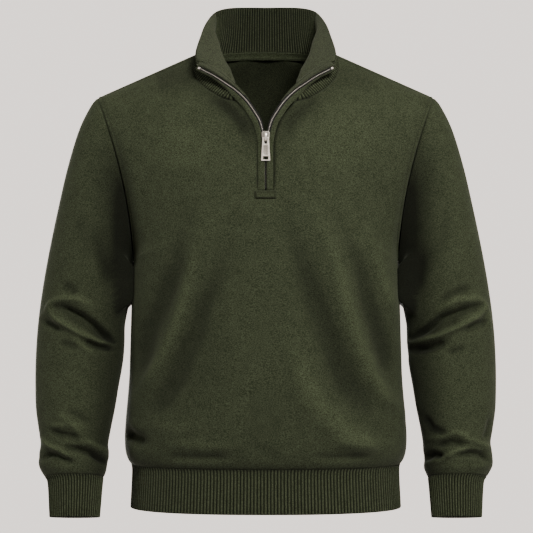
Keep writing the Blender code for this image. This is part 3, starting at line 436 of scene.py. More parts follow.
BACK_FOLDS = (
    Fold(((-40, -235), (-84, -330), (-150, -440)), 22, -5.5),
    Fold(((50, -240), (96, -345), (158, -460)), 21, -5.5),
    Fold(((-150, -400), (-178, -480), (-200, -560)), 15, 5.5),
    Fold(((150, -390), (182, -478), (204, -560)), 15, 5.5),
    Fold(((-96, -400), (-62, -490), (-40, -580)), 20, 4.5),
    Fold(((70, -410), (96, -500), (112, -585)), 18, -4.5),
    Fold(((14, -280), (20, -400), (6, -540)), 24, -3.2),
    Fold(((-172, -300), (-160, -360), (-176, -430)), 12, -4.0),
    Fold(((168, -296), (158, -352), (172, -416)), 12, -4.0),
    Fold(((-66, -546), (-84, -578), (-96, -598)), 8, -2.4),
    Fold(((46, -536), (34, -576), (26, -600)), 9, -2.2),
    Fold(((130, -540), (150, -580), (158, -600)), 8, -2.8),
    Fold(((-140, -566), (-164, -584), (-190, -590)), 7, -4.0),
    Fold(((-150, -90), (-176, -140), (-186, -210)), 12, -2.4),
    Fold(((148, -92), (178, -146), (186, -214)), 12, -2.4),
)
SLEEVE_RIGHT_FOLDS = (
    Fold(((-328, -383), (-317, -369), (-303, -362), (-281, -361), (-259, -371)), 5, 3.6),
    Fold(((-310, -374), (-291, -378), (-270, -387), (-253, -399), (-235, -417), (-225, -427)), 4.6, -7.0),
    Fold(((-295, -386), (-273, -394), (-251, -409), (-235, -422)), 7, -3.0),
    Fold(((-322, -380), (-309, -393), (-291, -403), (-267, -417), (-244, -427), (-225, -431)), 4.5, 3.8),
    Fold(((-267, -422), (-250, -430), (-226, -436)), 4.5, -5.0),
    Fold(((-332, -396), (-317, -400), (-303, -408)), 5, -3.6),
    Fold(((-288, -419), (-270, -431), (-251, -446)), 5, 1.6),
    Fold(((-307, -428), (-291, -428), (-276, -436)), 5, -1.8),
    Fold(((-303, -340), (-288, -346), (-278, -358)), 6, -2.2),
    Fold(((-307, -527), (-288, -542), (-269, -564)), 4, 1.8),
    Fold(((-292, -525), (-276, -530), (-259, -543)), 4, -1.8),
    Fold(((-320, -549), (-303, -546), (-281, -546), (-259, -555)), 4, 1.6),
    Fold(((-317, -555), (-303, -559), (-285, -562), (-270, -567)), 4, -3.8),
    Fold(((-332, -567), (-320, -576), (-303, -584), (-281, -595)), 4, 2.8),
    Fold(((-291, -578), (-273, -581), (-256, -587), (-241, -599), (-234, -605)), 4, -5.6),
    Fold(((-270, -567), (-256, -574), (-242, -583), (-232, -592)), 4, 2.6),
    Fold(((-332, -598), (-317, -590), (-306, -590), (-291, -598), (-279, -601)), 4.5, -5.0),
    Fold(((-329, -611), (-303, -609), (-273, -614), (-244, -617)), 5, 2.2),
    Fold(((-280, -216), (-275, -253), (-257, -308)), 12, -0.9, 0.5),
    Fold(((-251, -238), (-245, -290), (-231, -349)), 11, -1.4, 0.5),
)
SLEEVE_LEFT_FOLDS = (
    Fold(((254, -378), (280, -364), (310, -362), (324, -369)), 5, 3.6),
    Fold(((318, -372), (289, -380), (259, -390), (236, -408), (217, -421)), 4.6, -7.0),
    Fold(((289, -389), (259, -400), (236, -414)), 7, -3.0),
    Fold(((326, -375), (310, -390), (280, -405), (251, -418), (218, -427)), 4.5, 4.0),
    Fold(((265, -425), (242, -434), (215, -439)), 5.5, -6.0),
    Fold(((333, -396), (312, -400), (292, -409)), 5, -3.6),
    Fold(((321, -364), (330, -384), (335, -408)), 4, 2.0),
    Fold(((295, -433), (265, -442)), 5, -1.8),
    Fold(((307, -343), (274, -355), (257, -366)), 6, -2.2),
    Fold(((233, -534), (245, -552), (268, -561)), 5, -3.0),
    Fold(((233, -571), (259, -562), (280, -558), (310, -561)), 4, 1.8),
    Fold(((251, -576), (271, -571), (292, -574)), 3.8, -4.2),
    Fold(((274, -555), (295, -567), (321, -576), (330, -584)), 4, 2.4),
    Fold(((232, -598), (245, -590), (262, -593)), 5, -5.6),
    Fold(((236, -605), (259, -595), (280, -584), (301, -580)), 4, 3.0),
    Fold(((280, -589), (301, -586), (318, -590), (329, -601)), 4, -5.0),
    Fold(((236, -612), (265, -609), (310, -609), (327, -608)), 5, 2.2),
    Fold(((333, -534), (327, -558), (321, -567)), 5, -2.0),
    Fold(((276, -219), (267, -257), (249, -308)), 12, -0.9, 0.5),
    Fold(((240, -268), (232, -316), (220, -364)), 11, -1.4, 0.5),
)


# ---------------------------------------------------------------- the garment's own forms
def section_at(height: float) -> np.ndarray:
    """Row of the body's sections at a height."""
    rows = np.array(BODY_SECTIONS)
    return spline(rows, [float(np.interp(height, rows[:, 0], np.arange(len(rows))))])[0]


def panel_row(centre: np.ndarray, side: np.ndarray, openness: float, power: float, climb: float) -> np.ndarray:
    """Points of a panel from its centre edge to its side.

    Args:
        centre: The centre edge.
        side: The side seam or armhole.
        openness: 0 for a quarter of an oval, 1 where it falls away late to the armhole.
        power: How late it falls away.
        climb: How late it climbs.

    Returns:
        COLUMNS + 1 points.
    """
    turn = np.linspace(0.0, math.pi / 2, 160)
    share = np.sin(turn) ** (2 / OVAL_SQUARENESS)
    fall = 1 - np.cos(turn) ** (2 / OVAL_SQUARENESS)
    oval = centre + (side - centre) * np.stack([share, fall, share ** climb], axis=1)
    run = np.linspace(0.0, 1.0, 160)
    slant = centre + (side - centre) * np.stack([run, run ** power, run ** climb], axis=1)
    return evenly(oval, COLUMNS) * (1 - openness) + evenly(slant, COLUMNS) * openness


def arm_ring(angle: np.ndarray, ring: tuple[float, ...], scoop: float, back_depth: float) -> np.ndarray:
    """Points of a sleeve ring: angle 0 is its outer side, 90 degrees its front, 180 its inner side.

    Args:
        angle: Angles in radians.
        ring: Outer x and z, inner x and z, front half depth, middle y, tilt.
        scoop: How far it is cut in, in front and behind.
        back_depth: Half depth behind.

    Returns:
        A point for each angle.
    """
    outer_x, outer_z, inner_x, inner_z, depth, middle, tilt = ring
    c, s = np.cos(angle), np.sin(angle)
    reach = np.where(s > 0, depth, back_depth) * s
    x = (outer_x + inner_x) / 2 + c * (outer_x - inner_x) / 2 - scoop * s * s
    z = (outer_z + inner_z) / 2 + c * (outer_z - inner_z) / 2 + tilt * reach
    return np.stack([x, middle - reach, z], axis=1)


def zip_point(row: float) -> np.ndarray:
    """Row of the zip line, at a row number that may be a fraction."""
    return spline(np.array(ZIP_LINE), [row])[0]


def zip_frame(row: float) -> tuple[np.ndarray, np.ndarray, np.ndarray]:
    """Place on the zip line, its direction, and the direction out over the cloth in the front view.

    Args:
        row: Row number, which may be a fraction.

    Returns:
        The place and both directions.
    """
    last = len(ZIP_LINE) - 1
    ahead = zip_point(min(row + 0.1, last))[:3] - zip_point(max(row - 0.1, 0.0))[:3]
    out = np.array([ahead[2], 0.0, -ahead[0]]) / math.hypot(ahead[0], ahead[2])
    return zip_point(row)[:3], unit(ahead), out


def zip_offset(row: float, offset: float) -> np.ndarray:
    """Point beside the zip line in the front view: above 0 is on the cloth's side."""
    here, _, out = zip_frame(row)
    return here + out * offset


def opening(row: float) -> float:
    """0 where the folded edges meet over the zip, 1 where they lie beside it."""
    return float(ease((row - ZIP_OPENING_ROW) / ZIP_OPENING_ROWS))


def neck_corner() -> np.ndarray:
    """Where the neck seam meets the zip."""
    return zip_offset(NECK_CORNER_ROW, PLACKET_OUTER + SEAM_GAP) + np.array([0.0, CORNER_SINK, 0.0])


def half_panel(front: bool) -> np.ndarray:
    """Left half of the front or the back, rows from the hem to the shoulder seam.

    Args:
        front: Whether it is the front.

    Returns:
        Rows of points, each from the centre to the side.
    """
    sign = -1.0 if front else 1.0
    rows = []
    for level in BODY_LEVELS:
        _, half_width, front_depth, back_depth = section_at(level)
        share = ease((level - BODY_LEVELS[0]) / (BODY_LEVELS[-1] - BODY_LEVELS[0]))
        centre = np.array([0.0, sign * (front_depth if front else back_depth), level + ARMPIT_LIFT * share])
        rows.append(panel_row(centre, np.array([half_width, 0.0, level]), 0.0, CHEST_POWER, 2.0))
    if front:
        placket = [zip_offset(row, PLACKET_OUTER + SEAM_GAP) for row in PLACKET_ROWS[:-1]]
        edge = [*map(np.array, FRONT_LOWER_EDGE), *placket, neck_corner(), *map(np.array, FRONT_NECK)]
    else:
        edge = [*map(np.array, BACK_CENTRE), *map(np.array, BACK_NECK)]
    angle = np.linspace(math.pi, 0.0, ARM_HALF + 1) * (1 if front else -1)
    arm = arm_ring(angle, ARMHOLE, ARMHOLE_SCOOP, ARMHOLE_BACK_DEPTH)
    for k in range(1, ARM_HALF + 1):
        up = k / ARM_HALF
        power = CHEST_POWER + (SHOULDER_POWER - CHEST_POWER) * up
        climb = 2.0 - ease((up - 0.2) / 0.6)
        rows.append(panel_row(edge[k - 1], arm[k], float(ease(k / 4.0)), power, climb))
    return np.array(rows)


def sleeve_rings() -> np.ndarray:
    """Left sleeve, rings from the cuff seam up to the armhole.

    Returns:
        The rings of points.
    """
    angle = np.linspace(0.0, -2 * math.pi, 2 * ARM_HALF, endpoint=False)
    rings = [arm_ring(angle, ARMHOLE, ARMHOLE_SCOOP, ARMHOLE_BACK_DEPTH)]
    for k, ring in enumerate(SLEEVE_RINGS, start=1):
        rings.append(arm_ring(angle, ring, ARMHOLE_SCOOP * (1 - ease(k / SCOOP_RINGS)), ring[4]))
    return np.array(rings[::-1])


def cuff_rings() -> np.ndarray:
    """Left cuff, rings from its lower edge up to its seam."""
    angle = np.linspace(0.0, -2 * math.pi, 2 * ARM_HALF, endpoint=False)
    return np.array([arm_ring(angle, ring, 0.0, ring[4]) for ring in CUFF_RINGS[::-1]])


def hem_rings() -> np.ndarray:
    """Hem band, rings from its lower edge up to its seam, round the whole body.

    Returns:
        The rings of points.
    """
    rings = []
    for height, half_width, front_depth, back_depth in HEM_RINGS[::-1]:
        side = np.array([half_width, 0.0, height])
        front, back = (
            panel_row(np.array([0.0, depth, height]), side, 0.0, CHEST_POWER, 2.0)
            for depth in (-front_depth, back_depth)
        )
        rings.append(np.concatenate([front[:-1], back[:0:-1], back[:-1] * FLIP, front[:0:-1] * FLIP]))
    return np.array(rings)


def neck_seam() -> np.ndarray:
    """Left half of the neck seam, from the centre back to the zip."""
    return np.array([BACK_CENTRE[-1], *BACK_NECK, *FRONT_NECK[-2::-1], neck_corner()])


def collar_patch(columns: np.ndarray, rows: int, setback: float) -> np.ndarray:
    """Left half of the collar from the neck seam to the top edge.

    Args:
        columns: Places along the neck seam, in its points.
        rows: Cells up the collar.
        setback: How far the front edge stays behind the folded edge, in millimetres.

    Returns:
        Rows of points, back to front.
    """
    seam = neck_seam()
    feet = spline(seam, columns)
    halfway = spline(np.array(COLLAR_SECTIONS), columns)
    middle, top = halfway[:, :3], halfway[:, 3:]
    patch = []
    for r in range(rows + 1):
        t = r / rows
        patch.append(feet * 2 * (t - 0.5) * (t - 1) - middle * 4 * t * (t - 1) + top * 2 * t * (t - 0.5))
    patch = np.array(patch)
    last = unit(patch[:, -2] - patch[:, -1]) * setback
    patch[:, -1] += last * np.array([0.0] + [1.0] * rows)[:, None]
    return patch


def armhole_sink(points: np.ndarray, seam: np.ndarray, width: float) -> np.ndarray:
    """How far the cloth dips back beside the armhole seam, along +Y, in front and behind alike.

    Args:
        points: Points of a patch.
        seam: Points of the seam.
        width: Reach of the dip.

    Returns:
        The move along Y at each point.
    """
    flat = points.reshape(-1, 3)
    best = np.full(len(flat), 1e9)
    deep = np.zeros(len(flat))
    for start, end in zip(seam[:-1], seam[1:]):
        if (start[1] + end[1]) * np.mean(flat[:, 1]) < 0 and abs(np.mean(flat[:, 1])) > 30:
            continue
        span = (end - start)[[0, 2]]
        apart = flat[:, [0, 2]] - start[[0, 2]]
        held = np.clip(apart @ span / max(float(span @ span), 1e-9), 0.0, 1.0)
        away = np.linalg.norm(apart - held[:, None] * span, axis=1)
        here = start + (end - start) * held[:, None]
        same = here[:, 1] * flat[:, 1] > -1e-9
        nearer = same & (away < best)
        best = np.where(nearer, away, best)
        reach = ease((-80.0 - here[:, 2]) / 150.0) * ease(np.abs(flat[:, 1]) / 40.0)
        most = np.where(flat[:, 1] < 0, SINK_FRONT, SINK_BACK)
        deep = np.where(nearer, -np.sign(flat[:, 1]) * reach * most, deep)
    return (deep * np.exp(-((best / width) ** 2))).reshape(points.shape[:-1])


@dataclass
class SeamLine:
    """Where a row of stitches runs, and the directions out of the cloth there."""

    name: str
    points: np.ndarray
    normals: np.ndarray


def beside(points: np.ndarray, normals: np.ndarray, away: np.ndarray,
           reach: float) -> tuple[np.ndarray, np.ndarray]:
    """Line that keeps its distance from a seam.

    Args:
        points: Points of a patch.
        normals: Directions out of it.
        away: Distance of each point to the seam.
        reach: The distance wanted.

    Returns:
        One point for each row that reaches so far, and the directions out there.
    """
    line, out = [], []
    for row, side, apart in zip(points, normals, away):
        over = np.nonzero((apart[1:] - reach) * (apart[:-1] - reach) <= 0)[0]
        if len(over):
            k = over[0]
            f = (reach - apart[k]) / ((apart[k + 1] - apart[k]) or 1.0)
            line.append(row[k] * (1 - f) + row[k + 1] * f)
            out.append(side[k] * (1 - f) + side[k + 1] * f)
    return np.array(line), unit(np.array(out))


# ---------------------------------------------------------------- meshes
class Held(Enum):
    """How a piece of cloth is held."""

    HUNG = "hung"
    FOLDED = "folded"


def grid_mesh(name: str, patch: np.ndarray, closed: bool, layers: dict[str, np.ndarray]) -> bmesh.types.BMesh:
    """A grid bent to the points of a patch.

    Args:
        name: Name for messages.
        patch: Rows of points in millimetres.
        closed: Whether the last column is followed by the first.
        layers: Values at the points, one named layer each.

    Returns:
        The mesh, with its values and a UV map in metres along the cloth.
    """
    if closed:
        patch = np.concatenate([patch, patch[:, :1]], axis=1)
        layers = {key: np.concatenate([v, v[:, :1]], axis=1) for key, v in layers.items()}
    rows, columns = patch.shape[:2]
    bm = bmesh.new()
    bmesh.ops.create_grid(bm, x_segments=columns - 1, y_segments=rows - 1, size=0.5)
    slots = {key: bm.verts.layers.float.new(key) for key in layers}
    uv = bm.loops.layers.uv.new("cloth")
    down = run_of(patch[:, columns // 2])
    wide = run_of(patch[rows // 2])
    for face in bm.faces:
        for loop in face.loops:
            place = loop.vert.co
            c, r = round((place.x + 0.5) * (columns - 1)), round((place.y + 0.5) * (rows - 1))
            loop[uv].uv = (wide[c] * MM, down[r] * MM)
    for vert in bm.verts:
        c, r = round((vert.co.x + 0.5) * (columns - 1)), round((vert.co.y + 0.5) * (rows - 1))
        for key, slot in slots.items():
            vert[slot] = float(layers[key][r, c])
        vert.co = Vector(patch[r, c] * MM)
    if closed:
        bmesh.ops.remove_doubles(bm, verts=bm.verts, dist=1e-6)
    if not bm.faces:
        raise ValueError(f"{name} has no faces")
    return bm


def as_object(name: str, bm: bmesh.types.BMesh, material: bpy.types.Material) -> bpy.types.Object:
    """Turn a bmesh into a named, smooth object with its material.

    Args:
        name: Its name.
        bm: The mesh, which is freed.
        material: Finish of its outer face.

    Returns:
        The object.
    """
    mesh = bpy.data.meshes.new(name)
    bm.to_mesh(mesh)
    bm.free()
    mesh.shade_smooth()
    mesh.materials.append(material)
    obj = bpy.data.objects.new(name, mesh)
    bpy.context.scene.collection.objects.link(obj)
    return obj


def thickened(obj: bpy.types.Object, wall: float, lining: bpy.types.Material | None = None) -> bpy.types.Object:
    """Give a skin its thickness, inwards, in millimetres, and its inner face a finish of its own.

    Args:
        obj: The skin.
        wall: Its thickness.
        lining: Finish of its inner face, if that has its own.

    Returns:
        The same object.
    """
    solid = obj.modifiers.new("wall", "SOLIDIFY")
    solid.thickness = wall * MM
    solid.offset = -1.0
    solid.use_rim = True
    if lining:
        obj.data.materials.append(lining)
        solid.material_offset = 1
    return obj


def wrapped(patch: np.ndarray, normals: np.ndarray, wall: float, steps: int = 4) -> np.ndarray:
    """Both faces of a folded band as one patch: inner face, rounded fold at the first row, outer face.

    Args:
        patch: Outer face, rows from the folded edge.
        normals: Directions out of it.
        wall: Thickness in millimetres.
        steps: Rows round the fold.

    Returns:
        Rows from the inner face's sewn edge round the fold to the outer face's.
    """
    inner = patch - normals * wall
    centre = (patch[0] + inner[0]) / 2
    down = unit(patch[0] - patch[1])
    fold = []
    for k in range(1, steps):
        turn = math.pi * k / steps
        fold.append(centre - normals[0] * wall / 2 * math.cos(turn) + down * wall / 2 * math.sin(turn))
    return np.concatenate([inner[::-1], np.array(fold), patch, inner[-1:]])


def block(size: tuple[float, float, float]) -> bmesh.types.BMesh:
    """A plain block at the origin, from its sides in millimetres.

    Args:
        size: Its sides.

    Returns:
        The mesh, in metres.
    """
    bm = bmesh.new()
    bmesh.ops.create_cube(bm, size=1.0)
    bmesh.ops.scale(bm, vec=Vector(size) * MM, verts=bm.verts)
    return bm


def round_off(bm: bmesh.types.BMesh, edges: list[bmesh.types.BMEdge], radius: float, segments: int,
              clamp: bool = False) -> None:
    """Round the edges of a hard piece.

    Args:
        bm: The mesh.
        edges: Edges to round.
        radius: Reach of the rounding, in millimetres.
        segments: Faces across each edge.
        clamp: Whether roundings stop where they meet.
    """
    bmesh.ops.bevel(bm, geom=edges, offset=radius * MM, offset_type="OFFSET", affect="EDGES", segments=segments,
                    profile=0.5, material=-1, clamp_overlap=clamp)


def pull_out(bm: bmesh.types.BMesh, faces: list[bmesh.types.BMFace], move: tuple[float, float, float]) -> None:
    """Give flat faces a thickness.

    Args:
        bm: The mesh.
        faces: Faces to extrude.
        move: Where the new side lies from them, in metres.
    """
    made = bmesh.ops.extrude_face_region(bm, geom=faces, use_keep_orig=True)["geom"]
    moved = [v for v in made if isinstance(v, bmesh.types.BMVert)]
    bmesh.ops.translate(bm, vec=move, verts=moved)
    bmesh.ops.recalc_face_normals(bm, faces=bm.faces)


def sharp_edges(bm: bmesh.types.BMesh, least: float) -> list[bmesh.types.BMEdge]:
    """Edges whose faces meet at more than an angle in radians."""
    return [e for e in bm.edges if len(e.link_faces) == 2 and e.calc_face_angle() > least]


def join_all(parts: list[bmesh.types.BMesh], weld: float = 0.0) -> bmesh.types.BMesh:
    """Several meshes as one.

    Args:
        parts: The meshes, which are freed.
        weld: Points closer than this merge, 0 for none.

    Returns:
        The one mesh.
    """
    whole = bmesh.new()
    for part in parts:
        scratch = bpy.data.meshes.new("scratch")
        part.to_mesh(scratch)
        part.free()
        whole.from_mesh(scratch)
        bpy.data.meshes.remove(scratch)
    if weld:
        bmesh.ops.remove_doubles(whole, verts=whole.verts, dist=weld)
    return whole


# ---------------------------------------------------------------- finishes
@dataclass(frozen=True)
class KnitFinish:
    """Heathered knit with a soft raised nap."""

    name: str
    dark: tuple[float, float, float]
    light: tuple[float, float, float]
    speckle: float = 800.0
    finer: float = 2.6
    patches: float = 60.0
    mix: tuple[float, float, float] = (0.56, 0.36, 0.08)
    fleck: tuple[float, float, float] = (0.72, 0.72, 1.3)
    bump: float = 0.5
    sheen: float = 0.07
    # whether a rib layer paints shade into the rib valleys and light onto the ridges
    ribbed: bool = False
    twill: float = 0.0

    def build(self) -> bpy.types.Material:
        """Make the material.

        Returns:
            The material.
        """
        material, tree, shader = new_finish(self.name, {
            "Roughness": 0.92,
            "Specular IOR Level": 0.12,
            "Sheen Weight": self.sheen,
            "Sheen Roughness": 0.45,
            "Sheen Tint": (0.62, 0.68, 0.5, 1.0),
        })
        where = tree.nodes.new("ShaderNodeTexCoord").outputs["Object"]
        flecks = tree.nodes.new("ShaderNodeVectorMath")
        flecks.operation = "MULTIPLY"
        flecks.inputs[1].default_value = self.fleck
        tree.links.new(where, flecks.inputs[0])
        fine = noise(tree, flecks.outputs["Vector"], self.speckle, 1.0, 0.5)
        fibre = noise(tree, flecks.outputs["Vector"], self.speckle * self.finer, 1.0, 0.5)
        patchy = noise(tree, where, self.patches, 1.0, 0.5)
        shares = zip((fine, fibre, patchy), self.mix)
        first, second, third = (maths(tree, "MULTIPLY", value, share) for value, share in shares)
        height = maths(tree, "ADD", maths(tree, "ADD", first, second), third)
        color = two_tones(tree, height, self.dark, self.light, 0.40, 0.60)
        if self.twill > 0:
            lines = waves(tree, where, self.twill)
            height = maths(tree, "ADD", height, maths(tree, "MULTIPLY", lines, 0.5))
            color = darkened(tree, color, lines, 0.80, 1.06)
        # Painted shade in the rib valleys and painted highlight on the ridges.
        if self.ribbed:
            rib = tree.nodes.new("ShaderNodeAttribute")
            rib.attribute_name = "rib"
            color = darkened(tree, color, rib.outputs["Fac"], 0.02, 1.24)
        # The seam layer darkens the seam lines and also carries painted shade (above 0) and painted light
        # (below 0, which lifts the colour above its own tone).
        seam = tree.nodes.new("ShaderNodeAttribute")
        seam.attribute_name = "seam"
        color = darkened(tree, color, maths(tree, "SUBTRACT", 1.0, seam.outputs["Fac"]), 0.35, 1.0)
        tree.links.new(color, shader.inputs["Base Color"])
        add_relief(tree, shader, height, self.bump, 0.0009)
        return material


@dataclass(frozen=True)
class MetalFinish:
    """Plated zip metal with fine wear."""

    name: str
    color: tuple[float, float, float]
    roughness: float
    worn: float = 0.72

    def build(self) -> bpy.types.Material:
        """Make the material.

        Returns:
            The material.
        """
        material, tree, shader = new_finish(self.name, {"Metallic": 1.0})
        where = tree.nodes.new("ShaderNodeTexCoord").outputs["Object"]
        wear = noise(tree, where, 700.0, 4.0, 0.6)
        worn = tuple(c * self.worn for c in self.color)
        tree.links.new(two_tones(tree, wear, worn, self.color, 0.3, 0.7), shader.inputs["Base Color"])
        rough = tree.nodes.new("ShaderNodeMapRange")
        rough.inputs["To Min"].default_value = self.roughness - 0.08
        rough.inputs["To Max"].default_value = self.roughness + 0.14
        tree.links.new(wear, rough.inputs["Value"])
        tree.links.new(rough.outputs["Result"], shader.inputs["Roughness"])
        return material


@dataclass(frozen=True)
class ThreadFinish:
    """Woven tape or sewing thread."""

    name: str
    dark: tuple[float, float, float]
    light: tuple[float, float, float]
    scale: float = 1500.0

    def build(self) -> bpy.types.Material:
        """Make the material.

        Returns:
            The material.
        """
        material, tree, shader = new_finish(self.name, {"Roughness": 0.8, "Specular IOR Level": 0.2})
        where = tree.nodes.new("ShaderNodeTexCoord").outputs["Object"]
        weave = waves(tree, where, self.scale)
        tree.links.new(two_tones(tree, weave, self.dark, self.light, 0.0, 1.0), shader.inputs["Base Color"])
        add_relief(tree, shader, weave, 0.4, 0.0003)
        return material


def new_finish(name: str, values: dict[str, float | tuple[float, ...]]) -> tuple[
        bpy.types.Material, bpy.types.NodeTree, bpy.types.Node]:
    """Start a material.

    Args:
        name: Name of the finish.
        values: What is the same all over, by the shader's own sockets.

    Returns:
        The material, its node tree and its shader.
    """
    material = bpy.data.materials.new(name)
    material.use_nodes = True
    shader = material.node_tree.nodes["Principled BSDF"]
    for socket, value in values.items():
        shader.inputs[socket].default_value = value
    return material, material.node_tree, shader


def two_tones(tree: bpy.types.NodeTree, share: bpy.types.NodeSocket, dark: tuple[float, ...],
              light: tuple[float, ...], low: float, high: float) -> bpy.types.NodeSocket:
    """A colour that runs from a dark tone to a light one.

    Args:
        tree: Node tree of the finish.
        share: Socket that it follows.
        dark: The dark tone.
        light: The light tone.
        low: Share at which the dark tone ends.
        high: Share at which the light tone starts.

    Returns:
        The node's output.
    """
    ramp = tree.nodes.new("ShaderNodeValToRGB")
    for element, place, tone in zip(ramp.color_ramp.elements, (low, high), (dark, light)):
        element.position = place
        element.color = (*tone, 1.0)
    tree.links.new(share, ramp.inputs["Fac"])
    return ramp.outputs["Color"]


def add_relief(tree: bpy.types.NodeTree, shader: bpy.types.Node, height: bpy.types.NodeSocket, strength: float,
               reach: float) -> None:
    """Let a finish catch the light as if it were raised.

    Args:
        tree: Node tree of the finish.
        shader: Its shader.
        height: Socket with the height.
        strength: Strength of the relief.
        reach: Its full height in metres.
    """
    relief = tree.nodes.new("ShaderNodeBump")
    relief.inputs["Strength"].default_value = strength
    relief.inputs["Distance"].default_value = reach
    tree.links.new(height, relief.inputs["Height"])
    tree.links.new(relief.outputs["Normal"], shader.inputs["Normal"])


def noise(tree: bpy.types.NodeTree, where: bpy.types.NodeSocket, scale: float, detail: float,
          roughness: float) -> bpy.types.NodeSocket:
    """Fractal noise from 0 to 1.

    Args:
        tree: Node tree of the finish.
        where: Places on the surface.
        scale: Grains in a metre.
        detail: Finer layers added.
        roughness: Their strength.

    Returns:
        The value.
    """
    node = tree.nodes.new("ShaderNodeTexNoise")
    node.inputs["Scale"].default_value = scale
    node.inputs["Detail"].default_value = detail
    node.inputs["Roughness"].default_value = roughness
    tree.links.new(where, node.inputs["Vector"])
    return node.outputs["Fac"]


def waves(tree: bpy.types.NodeTree, where: bpy.types.NodeSocket, scale: float) -> bpy.types.NodeSocket:
    """Slanting fine lines, a little uneven.

    Args:
        tree: Node tree of the finish.
        where: Places on the surface.
        scale: Lines in a metre.

    Returns:
        The value.
    """
    node = tree.nodes.new("ShaderNodeTexWave")
    node.wave_type = "BANDS"
    node.bands_direction = "DIAGONAL"
    node.inputs["Scale"].default_value = scale
    node.inputs["Distortion"].default_value = 1.6
    node.inputs["Detail"].default_value = 1.0
    node.inputs["Detail Scale"].default_value = 2.0
    tree.links.new(where, node.inputs["Vector"])
    return node.outputs["Fac"]


def maths(tree: bpy.types.NodeTree, operation: str, first: bpy.types.NodeSocket | float,
          second: bpy.types.NodeSocket | float) -> bpy.types.NodeSocket:
    """A sum of two values, each a socket or a number.

    Args:
        tree: Node tree of the finish.
        operation: What is done with the values.
        first: First value.
        second: Second value.

    Returns:
        The result.
    """
    node = tree.nodes.new("ShaderNodeMath")
    node.operation = operation
    for socket, value in zip(node.inputs, (first, second)):
        if isinstance(value, float):
            socket.default_value = value
        else:
            tree.links.new(value, socket)
    return node.outputs["Value"]


def darkened(tree: bpy.types.NodeTree, color: bpy.types.NodeSocket, share: bpy.types.NodeSocket,
             low: float, high: float) -> bpy.types.NodeSocket:
    """A colour scaled from low to high by a share.

    Args:
        tree: Node tree of the finish.
        color: The colour.
        share: The share.
        low: Scale at a share of 0.
        high: Scale at a share of 1.

    Returns:
        The scaled colour.
    """
    rise = tree.nodes.new("ShaderNodeMapRange")
    rise.clamp = False
    rise.inputs["To Min"].default_value = low
    rise.inputs["To Max"].default_value = high
    tree.links.new(share, rise.inputs["Value"])
    node = tree.nodes.new("ShaderNodeVectorMath")
    node.operation = "SCALE"
    tree.links.new(color, node.inputs[0])
    tree.links.new(rise.outputs["Result"], node.inputs["Scale"])
    return node.outputs["Vector"]


JERSEY = KnitFinish("brushed_jersey", (0.0158, 0.0205, 0.0090), (0.0635, 0.0750, 0.0400))
# Inner face of the jersey, darkened as painted shade inside the garment.
JERSEY_INSIDE_PAINTED_SHADE = KnitFinish("jersey_inside_painted_shade", (0.007, 0.009, 0.004), (0.026, 0.031, 0.015),
                           twill=260.0, sheen=0.03)
RIB = KnitFinish("rib_knit", (0.025, 0.031, 0.014), (0.074, 0.087, 0.046), ribbed=True, sheen=0.05)
FACING = KnitFinish("facing_knit", (0.026, 0.031, 0.017), (0.074, 0.083, 0.049), twill=300.0)
ZIP_METAL = MetalFinish("zip_metal", (0.46, 0.435, 0.395), 0.28)
TEETH_METAL = MetalFinish("zip_teeth_metal", (0.46, 0.44, 0.40), 0.36)
BODY_METAL = MetalFinish("slider_body_metal", (0.19, 0.18, 0.162), 0.34)
PANEL_METAL = MetalFinish("tab_panel_metal", (0.19, 0.178, 0.156), 0.42)
TAPE = ThreadFinish("zip_tape_cloth", (0.003, 0.003, 0.003), (0.012, 0.012, 0.011))
THREAD = ThreadFinish("sewing_thread", (0.016, 0.019, 0.009), (0.040, 0.047, 0.024))


# ---------------------------------------------------------------- base class of the sub-assemblies
@dataclass
class Garment:
    """What every sub-assembly shares: its finished pieces, and how they are handed over."""

    def hand_over(self, obj: bpy.types.Object, node: str | None, slot: str) -> None:
        """Let a piece ride on the garment and stand for its node.

        Args:
            obj: The finished piece.
            node: The node that it stands for, if any.
            slot: The material slot of the record; not used.
        """
        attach(obj, GARMENT)
        if node:
            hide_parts(node)
        LOG.info("%s: %d faces", obj.name, len(obj.data.polygons))

    def cloth(self, obj: bpy.types.Object, cut: tuple[float, float], area: float, held: Held) -> None:
        """Take a piece and its cloth sizes, and do nothing with them.

        Args:
            obj: The piece; not used.
            cut: Width and length of its cut, in metres; not used.
            area: Flat area in square metres; not used.
            held: How it is held; not used.
        """


